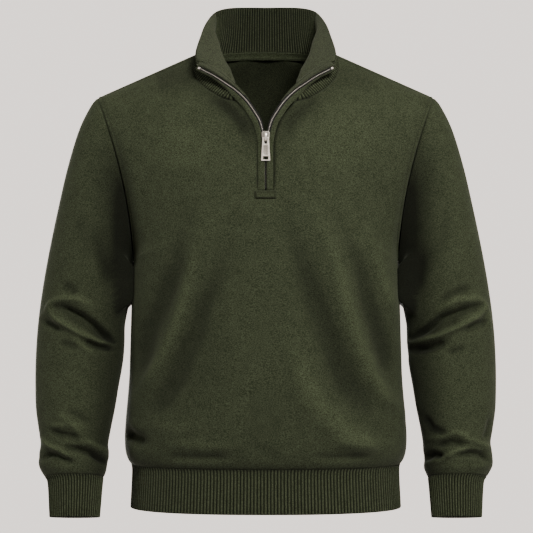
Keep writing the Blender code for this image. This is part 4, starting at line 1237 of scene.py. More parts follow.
# ---------------------------------------------------------------- front and back
@dataclass
class Body(Garment):
    """Front and back panels."""

    row_steps: int = 7
    column_steps: int = 45
    seam_dip: float = 1.5
    seam_width: float = 1.8
    swell_reach: float = 3.2
    stitch_reach: float = 6.2
    clear_of_arm: float = 8.0
    hem_dip: float = 0.8
    zip_dip: float = 1.1
    sink_width: float = 9.0
    lines: list[SeamLine] = field(default_factory=list)

    def note_lines(self, name: str, raised: np.ndarray, inside_out: bool, above: np.ndarray,
                   away: dict[str, np.ndarray]) -> None:
        """Keep the lines of stitches beside the armhole and, in front, beside the shoulder.

        Args:
            name: Start of the lines' names.
            raised: Points of the panel's outer face.
            inside_out: Whether the patch's own normals point inwards.
            above: Rows beside the armhole.
            away: Distances to the seams, by name.
        """
        out = normals_of(raised) * (-1.0 if inside_out else 1.0)
        arm = beside(raised[above], out[above], away["arm"][above], self.stitch_reach)
        self.lines.append(SeamLine(name + "_arm", *arm))
        if "shoulder" in away:
            clear = away["arm"][-1] > self.clear_of_arm
            turned = [grid.swapaxes(0, 1)[clear] for grid in (raised, out)]
            shoulder = beside(*turned, away["shoulder"].T[clear], self.stitch_reach)
            self.lines.append(SeamLine(name + "_shoulder", *shoulder))

    def edge_relief(self, run: np.ndarray, topstitched: bool) -> np.ndarray:
        """Height beside a seam, from the distance to it.

        Args:
            run: Distance to the seam.
            topstitched: Whether stitches run beside it.

        Returns:
            The height at each point.
        """
        height = -self.seam_dip * bump(run, 0.0, self.seam_width)
        if topstitched:
            height += 0.45 * bump(run, self.swell_reach, 1.9) - 0.5 * bump(run, self.stitch_reach, 0.9)
        return height

    def edge_shade(self, run: np.ndarray, seam: float, stitches: float) -> np.ndarray:
        """Shade in a seam and in the row of stitches beside it, from the distance to the seam."""
        return seam * bump(run, 0.0, 0.9) + stitches * bump(run, self.stitch_reach, 0.8)

    def skin(self, front: bool) -> list[tuple[np.ndarray, np.ndarray]]:
        """Right and left halves of a panel, with the share of seam darkening, painted shade and painted light
        at each point.

        Args:
            front: Whether it is the front.

        Returns:
            A patch and a layer of seam darkening, painted shade and painted light for each half, facing
            outwards.
        """
        half = half_panel(front)
        for _ in range(3):
            near = half[9:18, 1:-1, 1]
            half[10:17, 1:-1, 1] = (near[:-2] + 2 * near[1:-1] + near[2:]) / 4
        last_row = half.shape[0] - 1
        joined = len(BODY_LEVELS) + (len(FRONT_LOWER_EDGE) if front else len(BACK_CENTRE)) - 1
        corners = [joined, joined + 1, joined + 6] if front else [joined]
        rows = np.unique(np.concatenate([
            crowded(0.0, 3.0, 3 * self.row_steps, first=True),
            np.linspace(3.0, last_row - 2, int((last_row - 5) * self.row_steps) + 1),
            crowded(last_row - 2, last_row, 2 * self.row_steps, last=True),
            np.array(corners, float),
        ]).round(4))
        rows = rows[np.concatenate(([True], np.diff(rows) > LEAST_STEP))]
        columns = crowded(0.0, COLUMNS, self.column_steps, last=True)
        dense = spline(half, rows)
        edges = [0, *corners, last_row]
        for low, high in zip(edges[:-1], edges[1:]):
            inside = (rows >= low) & (rows <= high)
            if high > low + 1 or low >= joined:
                dense[inside, 0] = spline(half[low:high + 1, 0], rows[inside] - low)
        ghost = dense[:, 1] * FLIP
        apart = rows > joined + 0.001
        ghost[apart] = 2 * dense[apart, 0] - dense[apart, 1]
        wide = np.concatenate([ghost[:, None], dense], axis=1)
        left = across(wide, columns + 1)
        left[rows <= joined + 0.001, 0, 0] = 0.0
        halves = [mirrored(left), left]
        folds = FRONT_FOLDS if front else BACK_FOLDS
        result = []
        for k, patch in enumerate(halves):
            column_fade = ease((COLUMNS - columns) / 1.5)
            if k == 0:
                column_fade = column_fade[::-1]
            row_fade = ease(np.minimum(rows, last_row - rows) / 2.0)
            fade = row_fade[:, None] * column_fade[None, :]
            centre = ease((np.abs(patch[..., 0]) - 12.0) / 14.0)
            fade = np.where((rows > joined - 1)[:, None] & front, fade * centre, fade)
            height = fold_field(patch, folds) * fade
            # painted shade in the folds' troughs and painted light on their ridges
            shade = painted_fold_shade(height)
            side = patch[:, 0] if k == 0 else patch[:, -1]
            to_side = np.linalg.norm(patch - side[:, None], axis=-1)
            to_hem = np.linalg.norm(patch - patch[0][None], axis=-1)
            to_shoulder = np.linalg.norm(patch - patch[-1][None], axis=-1)
            above = ease((rows - ARMHOLE_SEAM_ROW) / 1.5)[:, None]
            height += self.edge_relief(to_side, True) * above
            height += self.edge_relief(to_side, False) * (1 - above) * 0.5
            height += self.edge_relief(to_shoulder, True) * (0.5 if front else 0.2)
            height -= self.hem_dip * bump(to_hem, 0.0, 2.0)
            if front:
                to_zip = np.linalg.norm(patch - patch[:, -1 if k == 0 else 0][:, None], axis=-1)
                beside_zip = ((rows > joined + 1) & (rows < joined + 7))[:, None]
                height -= self.zip_dip * bump(to_zip, 0.0, 2.4) * beside_zip
                shade += 0.40 * bump(to_zip, 0.0, 2.6) * beside_zip
                # painted shadow under the collar flaps, and painted shade and light over the front
                shade += CHEST_SHADE.height_at(np.abs(patch[..., 0]), patch[..., 2])
                shade += fold_field(patch, FRONT_SHADES)
            shade += self.edge_shade(to_side, 0.75, 0.55) * above
            shade += 0.4 * bump(to_side, 0.0, 0.8) * (1 - above)
            shade += self.edge_shade(to_shoulder, 0.75, 0.5) * float(front)
            shade += 0.8 * bump(to_hem, 0.0, 1.2)
            raised = patch + normals_of(patch) * (height * (1.0 if front else -1.0))[..., None]
            raised[..., 1] += armhole_sink(patch, side[rows > ARMPIT_ROW], self.sink_width)
            raised[rows <= joined + 0.001, -1 if k == 0 else 0, 0] = 0.0
            away = {"arm": to_side, "shoulder": to_shoulder} if front else {"arm": to_side}
            name = f"{'front' if front else 'back'}_{side_name(k == 1)}"
            self.note_lines(name, raised, not front, rows > ARMHOLE_STITCH_ROW, away)
            if not front:
                raised, shade = raised[:, ::-1], shade[:, ::-1]
            result.append((raised, np.clip(shade, -CREST_LIGHT, 1)))
        return result

    def panel(self, front: bool) -> None:
        """Make the front or the back.

        Args:
            front: Whether it is the front.
        """
        name = "front" if front else "back"
        skin = self.skin(front)
        parts = [grid_mesh(name, patch, False, {"seam": shade}) for patch, shade in skin]
        obj = as_object(name + "_cloth", join_all(parts, 2e-5), JERSEY.build())
        area = sum(area_of(patch) for patch, _ in skin)
        thickened(obj, JERSEY_WALL, JERSEY_INSIDE_PAINTED_SHADE.build())
        self.hand_over(obj, name, "knit")
        self.cloth(obj, (0.66, 0.74), area, Held.HUNG)

    def build(self) -> None:
        """Make both panels."""
        self.panel(True)
        self.panel(False)


# ---------------------------------------------------------------- sleeves and cuffs
@dataclass
class Sleeve(Garment):
    """One sleeve with its cuff."""

    left: bool
    row_steps: int = 7
    column_steps: int = 7
    rib_pitch: float = 4.4
    rib_height: float = 1.3
    back_shift: float = 9.0
    back_share: float = 0.7
    fold_share: float = 1.75
    painted_fold_share: float = 2.1
    inner_shade: float = 0.86
    pressed_shade: float = 1.2
    deepest_shade: float = 1.32
    sink_width: float = 38.0
    corner_depth: float = 38.0
    corner_width: float = 17.0
    corner_top: float = -284.0
    corner_bottom: float = -392.0
    corner_fade: float = 34.0
    corner_reach: float = 230.0
    body_side: float = 195.2

    @property
    def side(self) -> str:
        """Name of the side."""
        return side_name(self.left)

    def pressed(self, patch: np.ndarray, share: np.ndarray) -> np.ndarray:
        """The sleeve with its inner front corner filled out where it rests on the body's side.

        Args:
            patch: Points of the sleeve.
            share: How much of it each row takes.

        Returns:
            The moved points.
        """
        x, y, z = np.abs(patch[..., 0]), patch[..., 1], patch[..., 2]
        place = np.exp(-(((np.abs(y) - self.corner_depth) / self.corner_width) ** 2))
        place *= ease((self.corner_top - z) / self.corner_fade)
        place *= ease((z - self.corner_bottom) / self.corner_fade)
        reach = np.clip(self.corner_reach - x, 0.0, self.corner_fade) / self.corner_fade
        target = self.body_side + 0.9 * np.clip(np.abs(y) - self.corner_depth, 0.0, None)
        moved = x - np.clip(x - target, 0.0, None) * place * share * ease(reach * 5.0)
        return np.stack([np.sign(patch[..., 0]) * moved, y, z], axis=-1)

    def sleeve_cloth(self) -> None:
        """Make the sleeve."""
        coarse = sleeve_rings()
        last = coarse.shape[0] - 1
        rows = crowded(0.0, last, last * self.row_steps, first=True, last=True)
        turns = np.arange(2 * ARM_HALF * self.column_steps) / self.column_steps
        patch = on_side(across(spline(coarse, rows), turns, closed=True), self.left)
        folds = SLEEVE_LEFT_FOLDS if self.left else SLEEVE_RIGHT_FOLDS
        middle = patch[..., 1].mean(axis=1, keepdims=True)
        depth = np.ptp(patch[..., 1], axis=1)[:, None] / 2
        front = ease(0.5 - (patch[..., 1] - middle) / depth)
        height = fold_field(patch, folds) * front
        height += fold_field(patch, folds, self.back_shift) * self.back_share * (1 - front)
        height *= self.fold_share * ease(np.minimum(rows, last - rows) / 1.6)[:, None]
        # painted shade in the folds' troughs and painted light on their ridges
        shade = painted_fold_shade(height * self.painted_fold_share)
        to_arm = np.linalg.norm(patch - patch[-1][None], axis=-1)
        to_cuff = np.linalg.norm(patch - patch[0][None], axis=-1)
        seam_dip = 1.5 * ease((patch[..., 2] + 302.0) / 16.0)
        height -= seam_dip * bump(to_arm, 0.0, 1.8) + 0.8 * bump(to_cuff, 0.0, 2.0)
        shade += 0.75 * bump(to_arm, 0.0, 0.9) + 0.8 * bump(to_cuff, 0.0, 1.2)
        seam = np.concatenate([patch[-1], patch[-1, :1]])
        sink = armhole_sink(patch, seam, self.sink_width)
        # painted shade beside the armhole, where the body shades the sleeve
        shade += SINK_SHADE * np.abs(sink) / SINK_FRONT
        reach = np.abs(patch[..., 0])
        inner = (reach.max(axis=1, keepdims=True) - reach) / np.ptp(reach, axis=1)[:, None]
        # painted shade on the sleeve's inner side, towards the body
        shade += self.inner_shade * ease((inner - 0.57) / 0.40) * ease((last - rows) / 0.7)[:, None]
        patch = patch + normals_of(patch, True) * height[..., None]
        patch[..., 1] += sink
        pressed = self.pressed(patch, ease((last - rows) / 0.5)[:, None])
        # painted shade on the corner pressed against the body's side
        shade += self.pressed_shade * ease(np.abs(pressed - patch)[..., 0] / 10.0)
        patch = pressed
        bm = grid_mesh("sleeve", patch, True, {"seam": np.clip(shade, -CREST_LIGHT, self.deepest_shade)})
        obj = thickened(as_object(f"sleeve_{self.side}_cloth", bm, JERSEY.build()), JERSEY_WALL,
                        JERSEY_INSIDE_PAINTED_SHADE.build())
        self.hand_over(obj, f"sleeve_{self.side}", "knit")
        self.cloth(obj, (0.62, 0.66), area_of(patch, True), Held.HUNG)

    def cuff_cloth(self) -> None:
        """Make the ribbed cuff."""
        coarse = cuff_rings()
        rows = crowded(0.0, 2.0, 10, last=True)
        band = on_side(ribbed_band(coarse, rows, self.rib_pitch, True), self.left)
        obj, area = rib_object(f"cuff_{self.side}_rib", band, self.rib_height, True)
        self.hand_over(obj, f"cuff_{self.side}", "rib")
        self.cloth(obj, (0.27, 0.075), area, Held.FOLDED)

    def build(self) -> None:
        """Make the sleeve and its cuff."""
        self.sleeve_cloth()
        self.cuff_cloth()


def ribbed_band(coarse: np.ndarray, rows: np.ndarray, pitch: float, closed: bool) -> np.ndarray:
    """A band refined so that each rib has RIB_SAMPLES columns.

    Args:
        coarse: Rows of points.
        rows: Places up the band.
        pitch: Width of a rib in millimetres.
        closed: Whether it runs all the way round.

    Returns:
        The refined patch.
    """
    tall = spline(coarse, rows)
    count = tall.shape[1] if closed else tall.shape[1] - 1
    probe = across(tall, np.arange(count * 16 + (0 if closed else 1)) / 16, closed)
    line = probe.mean(axis=0) if not closed else probe[len(probe) // 2]
    if closed:
        line = np.concatenate([line, line[:1]])
    run = run_of(line)
    ribs = max(1, round(run[-1] / pitch))
    wanted = np.linspace(0.0, run[-1], ribs * RIB_SAMPLES + 1)
    if closed:
        wanted = wanted[:-1]
    return across(tall, np.interp(wanted, run, np.arange(len(run)) / 16), closed)


def rib_wave(columns: int) -> np.ndarray:
    """Height of the ribs at each column, from 0 in a valley to 1 on a ridge."""
    phase = np.arange(columns) / RIB_SAMPLES * 2 * math.pi
    return (0.5 + 0.5 * np.cos(phase)) ** 0.8


def rib_object(name: str, band: np.ndarray, height: float, closed: bool,
               inner_shade: float = 0.0) -> tuple[bpy.types.Object, float]:
    """A folded rib band with its ribs raised on both faces.

    Args:
        name: Name of the piece.
        band: Outer face, rows from the folded edge to the sewn edge.
        height: Height of the ribs in millimetres.
        closed: Whether it runs all the way round.
        inner_shade: Painted shade over the inner face.

    Returns:
        The piece, and the flat area of one face.
    """
    normals = normals_of(band, closed)
    wave = rib_wave(band.shape[1])
    from_seam = np.linalg.norm(band - band[-1][None], axis=-1)
    fade = 0.6 + 0.4 * ease(from_seam / 6.0)
    lift = (wave - 0.5)[None, :] * fade * height
    outer = band + normals * (lift - 0.9 * bump(from_seam, 0.0, 2.2))[..., None]
    both = wrapped(outer, normals, RIB_WALL)
    rows = both.shape[0]
    # The rib layer also paints shade into the valleys and light onto the ridges of both faces.
    rib = np.tile(wave, (rows, 1))
    rib[:len(band)] = 1 - rib[:len(band)]
    sewn = 0.85 * bump(from_seam, 0.0, 1.5)
    seam = np.zeros((rows, band.shape[1]))
    seam[-len(band) - 1:-1] = sewn
    # painted shade over the inner face
    seam[:len(band)] = inner_shade
    bm = grid_mesh(name, both, closed, {"rib": rib, "seam": seam})
    bmesh.ops.remove_doubles(bm, verts=bm.verts, dist=1e-6)
    bmesh.ops.holes_fill(bm, edges=[e for e in bm.edges if e.is_boundary], sides=0)
    return as_object(name, bm, RIB.build()), area_of(band, closed)


# ---------------------------------------------------------------- hem band
@dataclass
class Hem(Garment):
    """Ribbed hem band."""

    pitch: float = 4.9
    height: float = 1.1

    def build(self) -> None:
        """Make the band."""
        rows = crowded(0.0, 2.0, 10, last=True)
        band = ribbed_band(hem_rings(), rows, self.pitch, True)
        obj, area = rib_object("hem_rib", band, self.height, True)
        self.hand_over(obj, "hem_band", "rib")
        self.cloth(obj, (1.08, 0.07), area, Held.FOLDED)


# ---------------------------------------------------------------- collar
@dataclass
class Collar(Garment):
    """Ribbed stand collar, its plain facings and the tape over the back neck seam."""

    pitch: float = 3.9
    height: float = 1.5
    facing_gap: float = 2.4
    tuck: float = 2.0
    front_swell: float = 9.0
    front_lift: float = 4.5
    roll_shares: tuple[float, ...] = (0.0, 0.25, 0.5, 0.75, 0.92, 1.0)
    roll_rows: tuple[float, ...] = (7.2, 9.2, 10.15, 11.2, 12.0, 12.0)
    curl_rows: tuple[float, ...] = (7.2, 8.6, 10.3, 12.0)
    curl_starts: tuple[float, ...] = (1.6, 1.8, 2.0, 2.2)
    curl_widths: tuple[float, ...] = (1.0, 3.6, 6.6, 9.0)
    curl_line: tuple[tuple[float, float], ...] = (
        # share of the width from the zip, height behind it
        (1.12, 2.6), (0.86, 1.2), (0.5, -3.2), (0.16, -2.4), (0.0, 0.4), (0.04, 2.2),
    )
    inner_shade: float = 0.46
    left_facing_shade: float = 0.13
    tape_width: float = 12.5
    tape_top: float = -0.5

    def rib_collar(self) -> None:
        """Make the ribbed collar."""
        left = collar_patch(np.arange(17) / 2, 4, 3.0)
        whole = np.concatenate([left[:, :0:-1] * FLIP, left], axis=1)
        band = ribbed_band(whole[::-1], np.linspace(0.0, 4.0, 25), self.pitch, False)
        up = 1 - np.linspace(0.0, 1.0, 25)[:, None]
        forward = ease((-band[:, :, 1] - 15.0) / 30.0)
        to_front = np.minimum(*(
            np.linalg.norm(band - band[:, k:k + 1], axis=-1) for k in (0, band.shape[1] - 1)))
        swell = self.front_swell * np.sin(math.pi * np.clip(up / 0.62, 0.0, 1.0)) ** 0.9 * forward
        band[..., 1] -= swell * (1 - 0.95 * bump(to_front, 0.0, 13.0))
        band[..., 1] -= self.front_lift * bump(to_front, 0.0, 16.0) * ease(up / 0.14)
        band[-1] += unit(band[-1] - band[-2]) * self.tuck
        obj, area = rib_object("collar_rib", band, self.height, False, self.inner_shade)
        self.hand_over(obj, "collar", "rib")
        self.cloth(obj, (0.60, 0.115), area, Held.FOLDED)

    def lining(self, row: float) -> np.ndarray:
        """Points of the facing's plain part at a height up the collar, from its inner edge to the zip.

        Args:
            row: Height up the collar, in its own rows.

        Returns:
            The points.
        """
        start = FACING_START - 0.9 * float(ease(row / 4.0))
        columns = np.linspace(start, 7.5, 12)
        patch = collar_patch(columns, 8, 0.0)
        depth = RIB_WALL + 0.3 + FACING_WALL + self.facing_gap * ease((columns - start) / 1.2)
        return spline(patch + normals_of(patch) * depth[None, :, None], [2 * row])[0]

    def roll(self, share: float) -> np.ndarray:
        """Points of the facing's rolled edge beside the zip, at a share of the way up the opening.

        Args:
            share: Share of the way up.

        Returns:
            The points, from the plain part to the zip.
        """
        row = float(np.interp(share, self.roll_shares, self.roll_rows))
        here, along, out = zip_frame(row)
        turn = math.radians(62.0) * float(ease((share - 0.88) / 0.12))
        inward = -out * math.cos(turn) + along * math.sin(turn)
        near = float(np.interp(row, self.curl_rows, self.curl_starts)) - 1.9 * math.sin(turn)
        width = float(np.interp(row, self.curl_rows, self.curl_widths)) - 3.2 * math.sin(turn)
        sunk = 3.4 * (1 - float(ease((row - self.curl_rows[0]) / 1.6)))
        line = []
        for f, rise in self.curl_line:
            point = here + inward * (near + width * f)
            point[1] += rise * (0.45 + 0.55 * width / 8.0) + sunk
            line.append(point)
        return np.array(line)

    def facing(self, left: bool) -> None:
        """Make one facing.

        Args:
            left: Whether it is the left one.
        """
        shares = np.linspace(0.0, 1.0, 65)
        coarse = np.array([np.concatenate([self.lining(4 * t), self.roll(t)]) for t in shares])
        patch = across(coarse, np.linspace(0.0, coarse.shape[1] - 1, 121))
        patch = on_side(patch, left)
        name = "collar_facing_" + side_name(left)
        # Painted shade over the whole left facing, none on the right.
        shade = np.full(patch.shape[:2], self.left_facing_shade if left else 0.0)
        bm = grid_mesh("facing", patch, False, {"seam": shade})
        obj = thickened(as_object(name + "_cloth", bm, FACING.build()), FACING_WALL)
        self.hand_over(obj, name, "knit")
        self.cloth(obj, (0.16, 0.15), area_of(patch), Held.FOLDED)

    def neck_tape(self) -> None:
        """Make the tape over the back neck seam."""
        seam = neck_seam()
        upper = spline(seam, np.linspace(0.0, 2.7, 49)) + np.array([0.0, -6.6, self.tape_top])
        lean = 0.40 + 0.2 * upper[:, 0] / 64.0
        down = unit(np.stack([np.zeros(len(lean)), lean, np.full(len(lean), -0.9)], axis=1))
        normals = unit(np.cross(np.gradient(upper, axis=0), down))
        rows = []
        for f in np.linspace(1.0, 0.0, 15):
            swell = 0.9 * math.sin(math.pi * min(1.0, f * 1.12)) ** 0.6 if f < 0.89 else 0.0
            swell -= 0.5 * math.exp(-(((f - 0.78) * self.tape_width / 0.8) ** 2))
            rows.append(upper + down * (self.tape_width * f) + normals * swell)
        left = np.array(rows)
        patch = np.concatenate([mirrored(left)[:, :-1], left], axis=1)
        if normals[0, 1] > 0:
            patch = patch[:, ::-1]
        shade = np.zeros(patch.shape[:2])
        shade[:1] = 0.9
        shade[2:4] = 0.55
        bm = grid_mesh("neck_tape", patch, False, {"seam": shade})
        obj = thickened(as_object("neck_tape_cloth", bm, JERSEY.build()), FACING_WALL)
        self.hand_over(obj, "neck_tape", "knit")
        self.cloth(obj, (0.26, 0.014), area_of(patch), Held.FOLDED)

    def build(self) -> None:
        """Make the collar, the facings and the tape."""
        self.rib_collar()
        self.facing(True)
        self.facing(False)
        self.neck_tape()


# ---------------------------------------------------------------- zip
@dataclass
class ZipFastening(Garment):
    """Folded edges, bar, tapes, teeth and stops of the half-open zip."""

    tooth_pitch: float = 2.1
    tooth_length: float = 1.05
    tooth_width: float = 1.45
    tooth_depth: float = 1.7
    edge_reach: float = 2.3
    edge_steps: int = 12
    edge_wall: float = 1.6
    tape_wall: float = 0.8
    tape_steps: int = 4
    stop_size: tuple[float, float, float] = (3.4, 2.2, 3.6)
    bar_width: float = 32.0
    bar_top: float = -203.8
    bar_height: float = 12.5
    bar_wall: float = 1.4
    bar_stitches: tuple[float, float, float] = (13.6, -206.2, -213.9)
    bar_face: float = -122.6

    def folded_edge(self, left: bool) -> None:
        """Make one folded edge that frames the zip.

        Args:
            left: Whether it is the left one.
        """
        rows = []
        last = len(ZIP_LINE) - 1
        for place in np.linspace(0.0, last + 0.8, 12 * last + 11):
            row = min(place, float(last))
            turn = math.radians(75.0) * float(ease((place - last) / 0.8))
            opened = opening(row)
            flap = float(ease((row - NECK_CORNER_ROW) / 3.5))
            here, along, out = zip_frame(row)
            outward = out * math.cos(turn) + along * math.sin(turn)
            inner = here + outward * (opened * self.edge_reach - 1.2 * math.sin(turn))
            outer = here + outward * (PLACKET_OUTER - 0.2 - 5.6 * flap - 0.8 * math.sin(turn))
            line = []
            for f in np.linspace(0.0, 1.0, self.edge_steps + 1):
                point = inner + (outer - inner) * f
                crest = math.sin(math.pi * min(1.0, f * 1.15)) ** 0.7 if f < 0.87 else 0.0
                point[1] += -1.3 * crest + 1.1 * float(ease((0.12 - f) / 0.12)) + flap * 2.2 * f * f
                line.append(point)
            rows.append(line)
        patch = on_side(np.array(rows), left)
        shade = np.zeros(patch.shape[:2])
        shade[:, -1 if left else 0] = 0.8
        name = "placket_" + side_name(left)
        bm = grid_mesh("placket", patch, False, {"seam": shade})
        obj = thickened(as_object(name + "_cloth", bm, JERSEY.build()), self.edge_wall)
        self.hand_over(obj, name, "knit")
        self.cloth(obj, (0.025, 0.26), area_of(patch), Held.FOLDED)

    def tape(self, left: bool) -> None:
        """Make one woven tape.

        Args:
            left: Whether it is the left one.
        """
        rows = []
        last = len(ZIP_LINE) - 1
        for row in np.linspace(0.0, last, 8 * last + 1):
            reach = zip_point(row)[3]
            sunk = (1 - float(ease(row - ZIP_RISE_ROW))) * (JERSEY_WALL + SEAM_GAP + 0.4)
            end = TAPE_HIDDEN_REACH + (ZIP_HALF_WIDTH - TAPE_HIDDEN_REACH) * opening(row)
            line = []
            for f in np.linspace(0.0, 1.0, self.tape_steps + 1):
                point = zip_offset(row, -reach + (end + reach) * f)
                point[1] += sunk
                line.append(point)
            rows.append(line)
        patch = on_side(np.array(rows), left)
        name = "zip_tape_" + side_name(left)
        bm = grid_mesh("tape", patch, False, {"seam": np.zeros(patch.shape[:2])})
        obj = thickened(as_object(name + "_cloth", bm, TAPE.build()), self.tape_wall)
        self.hand_over(obj, name, "tape")
        self.cloth(obj, (0.012, 0.26), area_of(patch), Held.HUNG)

    def tooth(self) -> bmesh.types.BMesh:
        """One tooth at the origin: a rounded bar across Y with a nub towards +X.

        Returns:
            The mesh, in metres.
        """
        bm = block((self.tooth_width, self.tooth_depth, self.tooth_length))
        round_off(bm, [e for e in bm.edges if abs(e.verts[0].co.x - e.verts[1].co.x) > 1e-6], 0.35, 2)
        tip = [v for v in bm.verts if v.co.x > 0]
        bmesh.ops.scale(bm, vec=Vector((1.0, 0.82, 0.72)), verts=tip)
        return bm

    def seated(self, row: float, lift: float, left: bool) -> Matrix:
        """Matrix that takes a piece from the origin to its place on the zip.

        Args:
            row: Place along the zip line.
            lift: How far it lies behind the line, along Y, in millimetres.
            left: Whether it is on the left.

        Returns:
            The matrix, in metres.
        """
        here, along, out = zip_frame(row)
        outward = unit(out - along * float(out @ along))
        turn = Matrix((Vector(-outward), Vector(np.cross(along, outward)), Vector(along))).transposed().to_4x4()
        place = Matrix.Translation(Vector((here + np.array([0.0, lift, 0.0])) * MM))
        return Matrix.Diagonal((1.0 if left else -1.0, 1.0, 1.0)).to_4x4() @ place @ turn

    def tooth_rows(self, left: bool) -> np.ndarray:
        """Places of the teeth of one side along the zip line.

        Args:
            left: Whether it is the left one.

        Returns:
            The rows, which may be fractions.
        """
        last = len(ZIP_LINE) - 1
        where = np.linspace(0.05, last - 0.12, 400)
        line = np.array([zip_point(w)[:3] for w in where])
        run = run_of(line)
        count = int(run[-1] / self.tooth_pitch)
        shift = 0.0 if left else 0.5
        return np.interp((np.arange(count) + shift) * self.tooth_pitch, run, where)

    def teeth(self, left: bool) -> None:
        """Make one row of teeth.

        Args:
            left: Whether it is the left one.
        """
        parts = []
        for row in self.tooth_rows(left):
            sunk = (1 - float(ease(row - ZIP_RISE_ROW))) * 4.0
            squeeze = 0.45 if row < ZIP_RISE_ROW else 1.0
            bm = self.tooth()
            shape = Matrix.Diagonal((squeeze, 1.0, 1.0)).to_4x4()
            bmesh.ops.transform(bm, matrix=self.seated(row, sunk - 0.75, left) @ shape, verts=bm.verts)
            bmesh.ops.recalc_face_normals(bm, faces=bm.faces)
            parts.append(bm)
        obj = as_object("zip_teeth_" + side_name(left), join_all(parts), TEETH_METAL.build())
        self.hand_over(obj, None, "metal")

    def stop(self, left: bool) -> None:
        """Make the top stop of one side.

        Args:
            left: Whether it is the left one.
        """
        bm = block(self.stop_size)
        round_off(bm, bm.edges[:], 0.6, 3)
        bmesh.ops.transform(bm, matrix=self.seated(len(ZIP_LINE) - 1.06, -0.9, left), verts=bm.verts)
        bmesh.ops.recalc_face_normals(bm, faces=bm.faces)
        self.hand_over(as_object("zip_stop_" + side_name(left), bm, TEETH_METAL.build()), None, "metal")

    def bar_line(self) -> SeamLine:
        """Row of stitches round the box, just inside its edge.

        Returns:
            The line.
        """
        half, top, bottom = self.bar_stitches
        corners = [(x, self.bar_face, z) for x, z in (
            (-half, top), (half, top), (half, bottom), (-half, bottom))]
        ends = corners[1:] + corners[:1]
        points = np.concatenate([np.linspace(a, b, 12)[:-1] for a, b in zip(corners, ends)])
        return SeamLine("bar", points, np.tile((0.0, -1.0, 0.0), (len(points), 1)))

    def bar(self) -> None:
        """Make the stitched box that closes the placket."""
        width, top, height = self.bar_width, self.bar_top, self.bar_height
        rows, shade = [], []
        for f in np.linspace(1.0, 0.0, 21):
            y = -118.7 + (-119.6 + 118.7) * f - SEAM_GAP - 1.6
            line = []
            for c in np.linspace(-1.0, 1.0, 57):
                edge = min((1 - abs(c)) * width / 2, f * height, (1 - f) * height)
                risen = float(ease(edge / 2.2))
                groove = 0.45 * math.exp(-((edge - 2.2) / 0.7) ** 2)
                corner = max(0.0, abs(c) * width / 2 - (width / 2 - 2.5))
                corner *= max(0.0, abs(f - 0.5) * height - height / 2 + 2.5)
                x = width / 2 * c * (1 - 0.012 * corner)
                line.append((x, y + 1.6 - 2.2 * risen + groove, top - height * f))
                sewn = math.exp(-(((edge - 2.2) / 0.8) ** 2))
                shade.append(0.55 * math.exp(-((edge / 0.9) ** 2)) + 0.5 * sewn)
            rows.append(line)
        patch = np.array(rows)
        bm = grid_mesh("bar", patch, False, {"seam": np.array(shade).reshape(patch.shape[:2])})
        obj = thickened(as_object("placket_bar_cloth", bm, JERSEY.build()), self.bar_wall)
        self.hand_over(obj, "placket_bar", "knit")
        self.cloth(obj, (0.040, 0.016), area_of(patch), Held.FOLDED)

    def build(self) -> None:
        """Make the fastening."""
        for left in (True, False):
            self.folded_edge(left)
            self.tape(left)
            self.teeth(left)
            self.stop(left)
        self.bar()


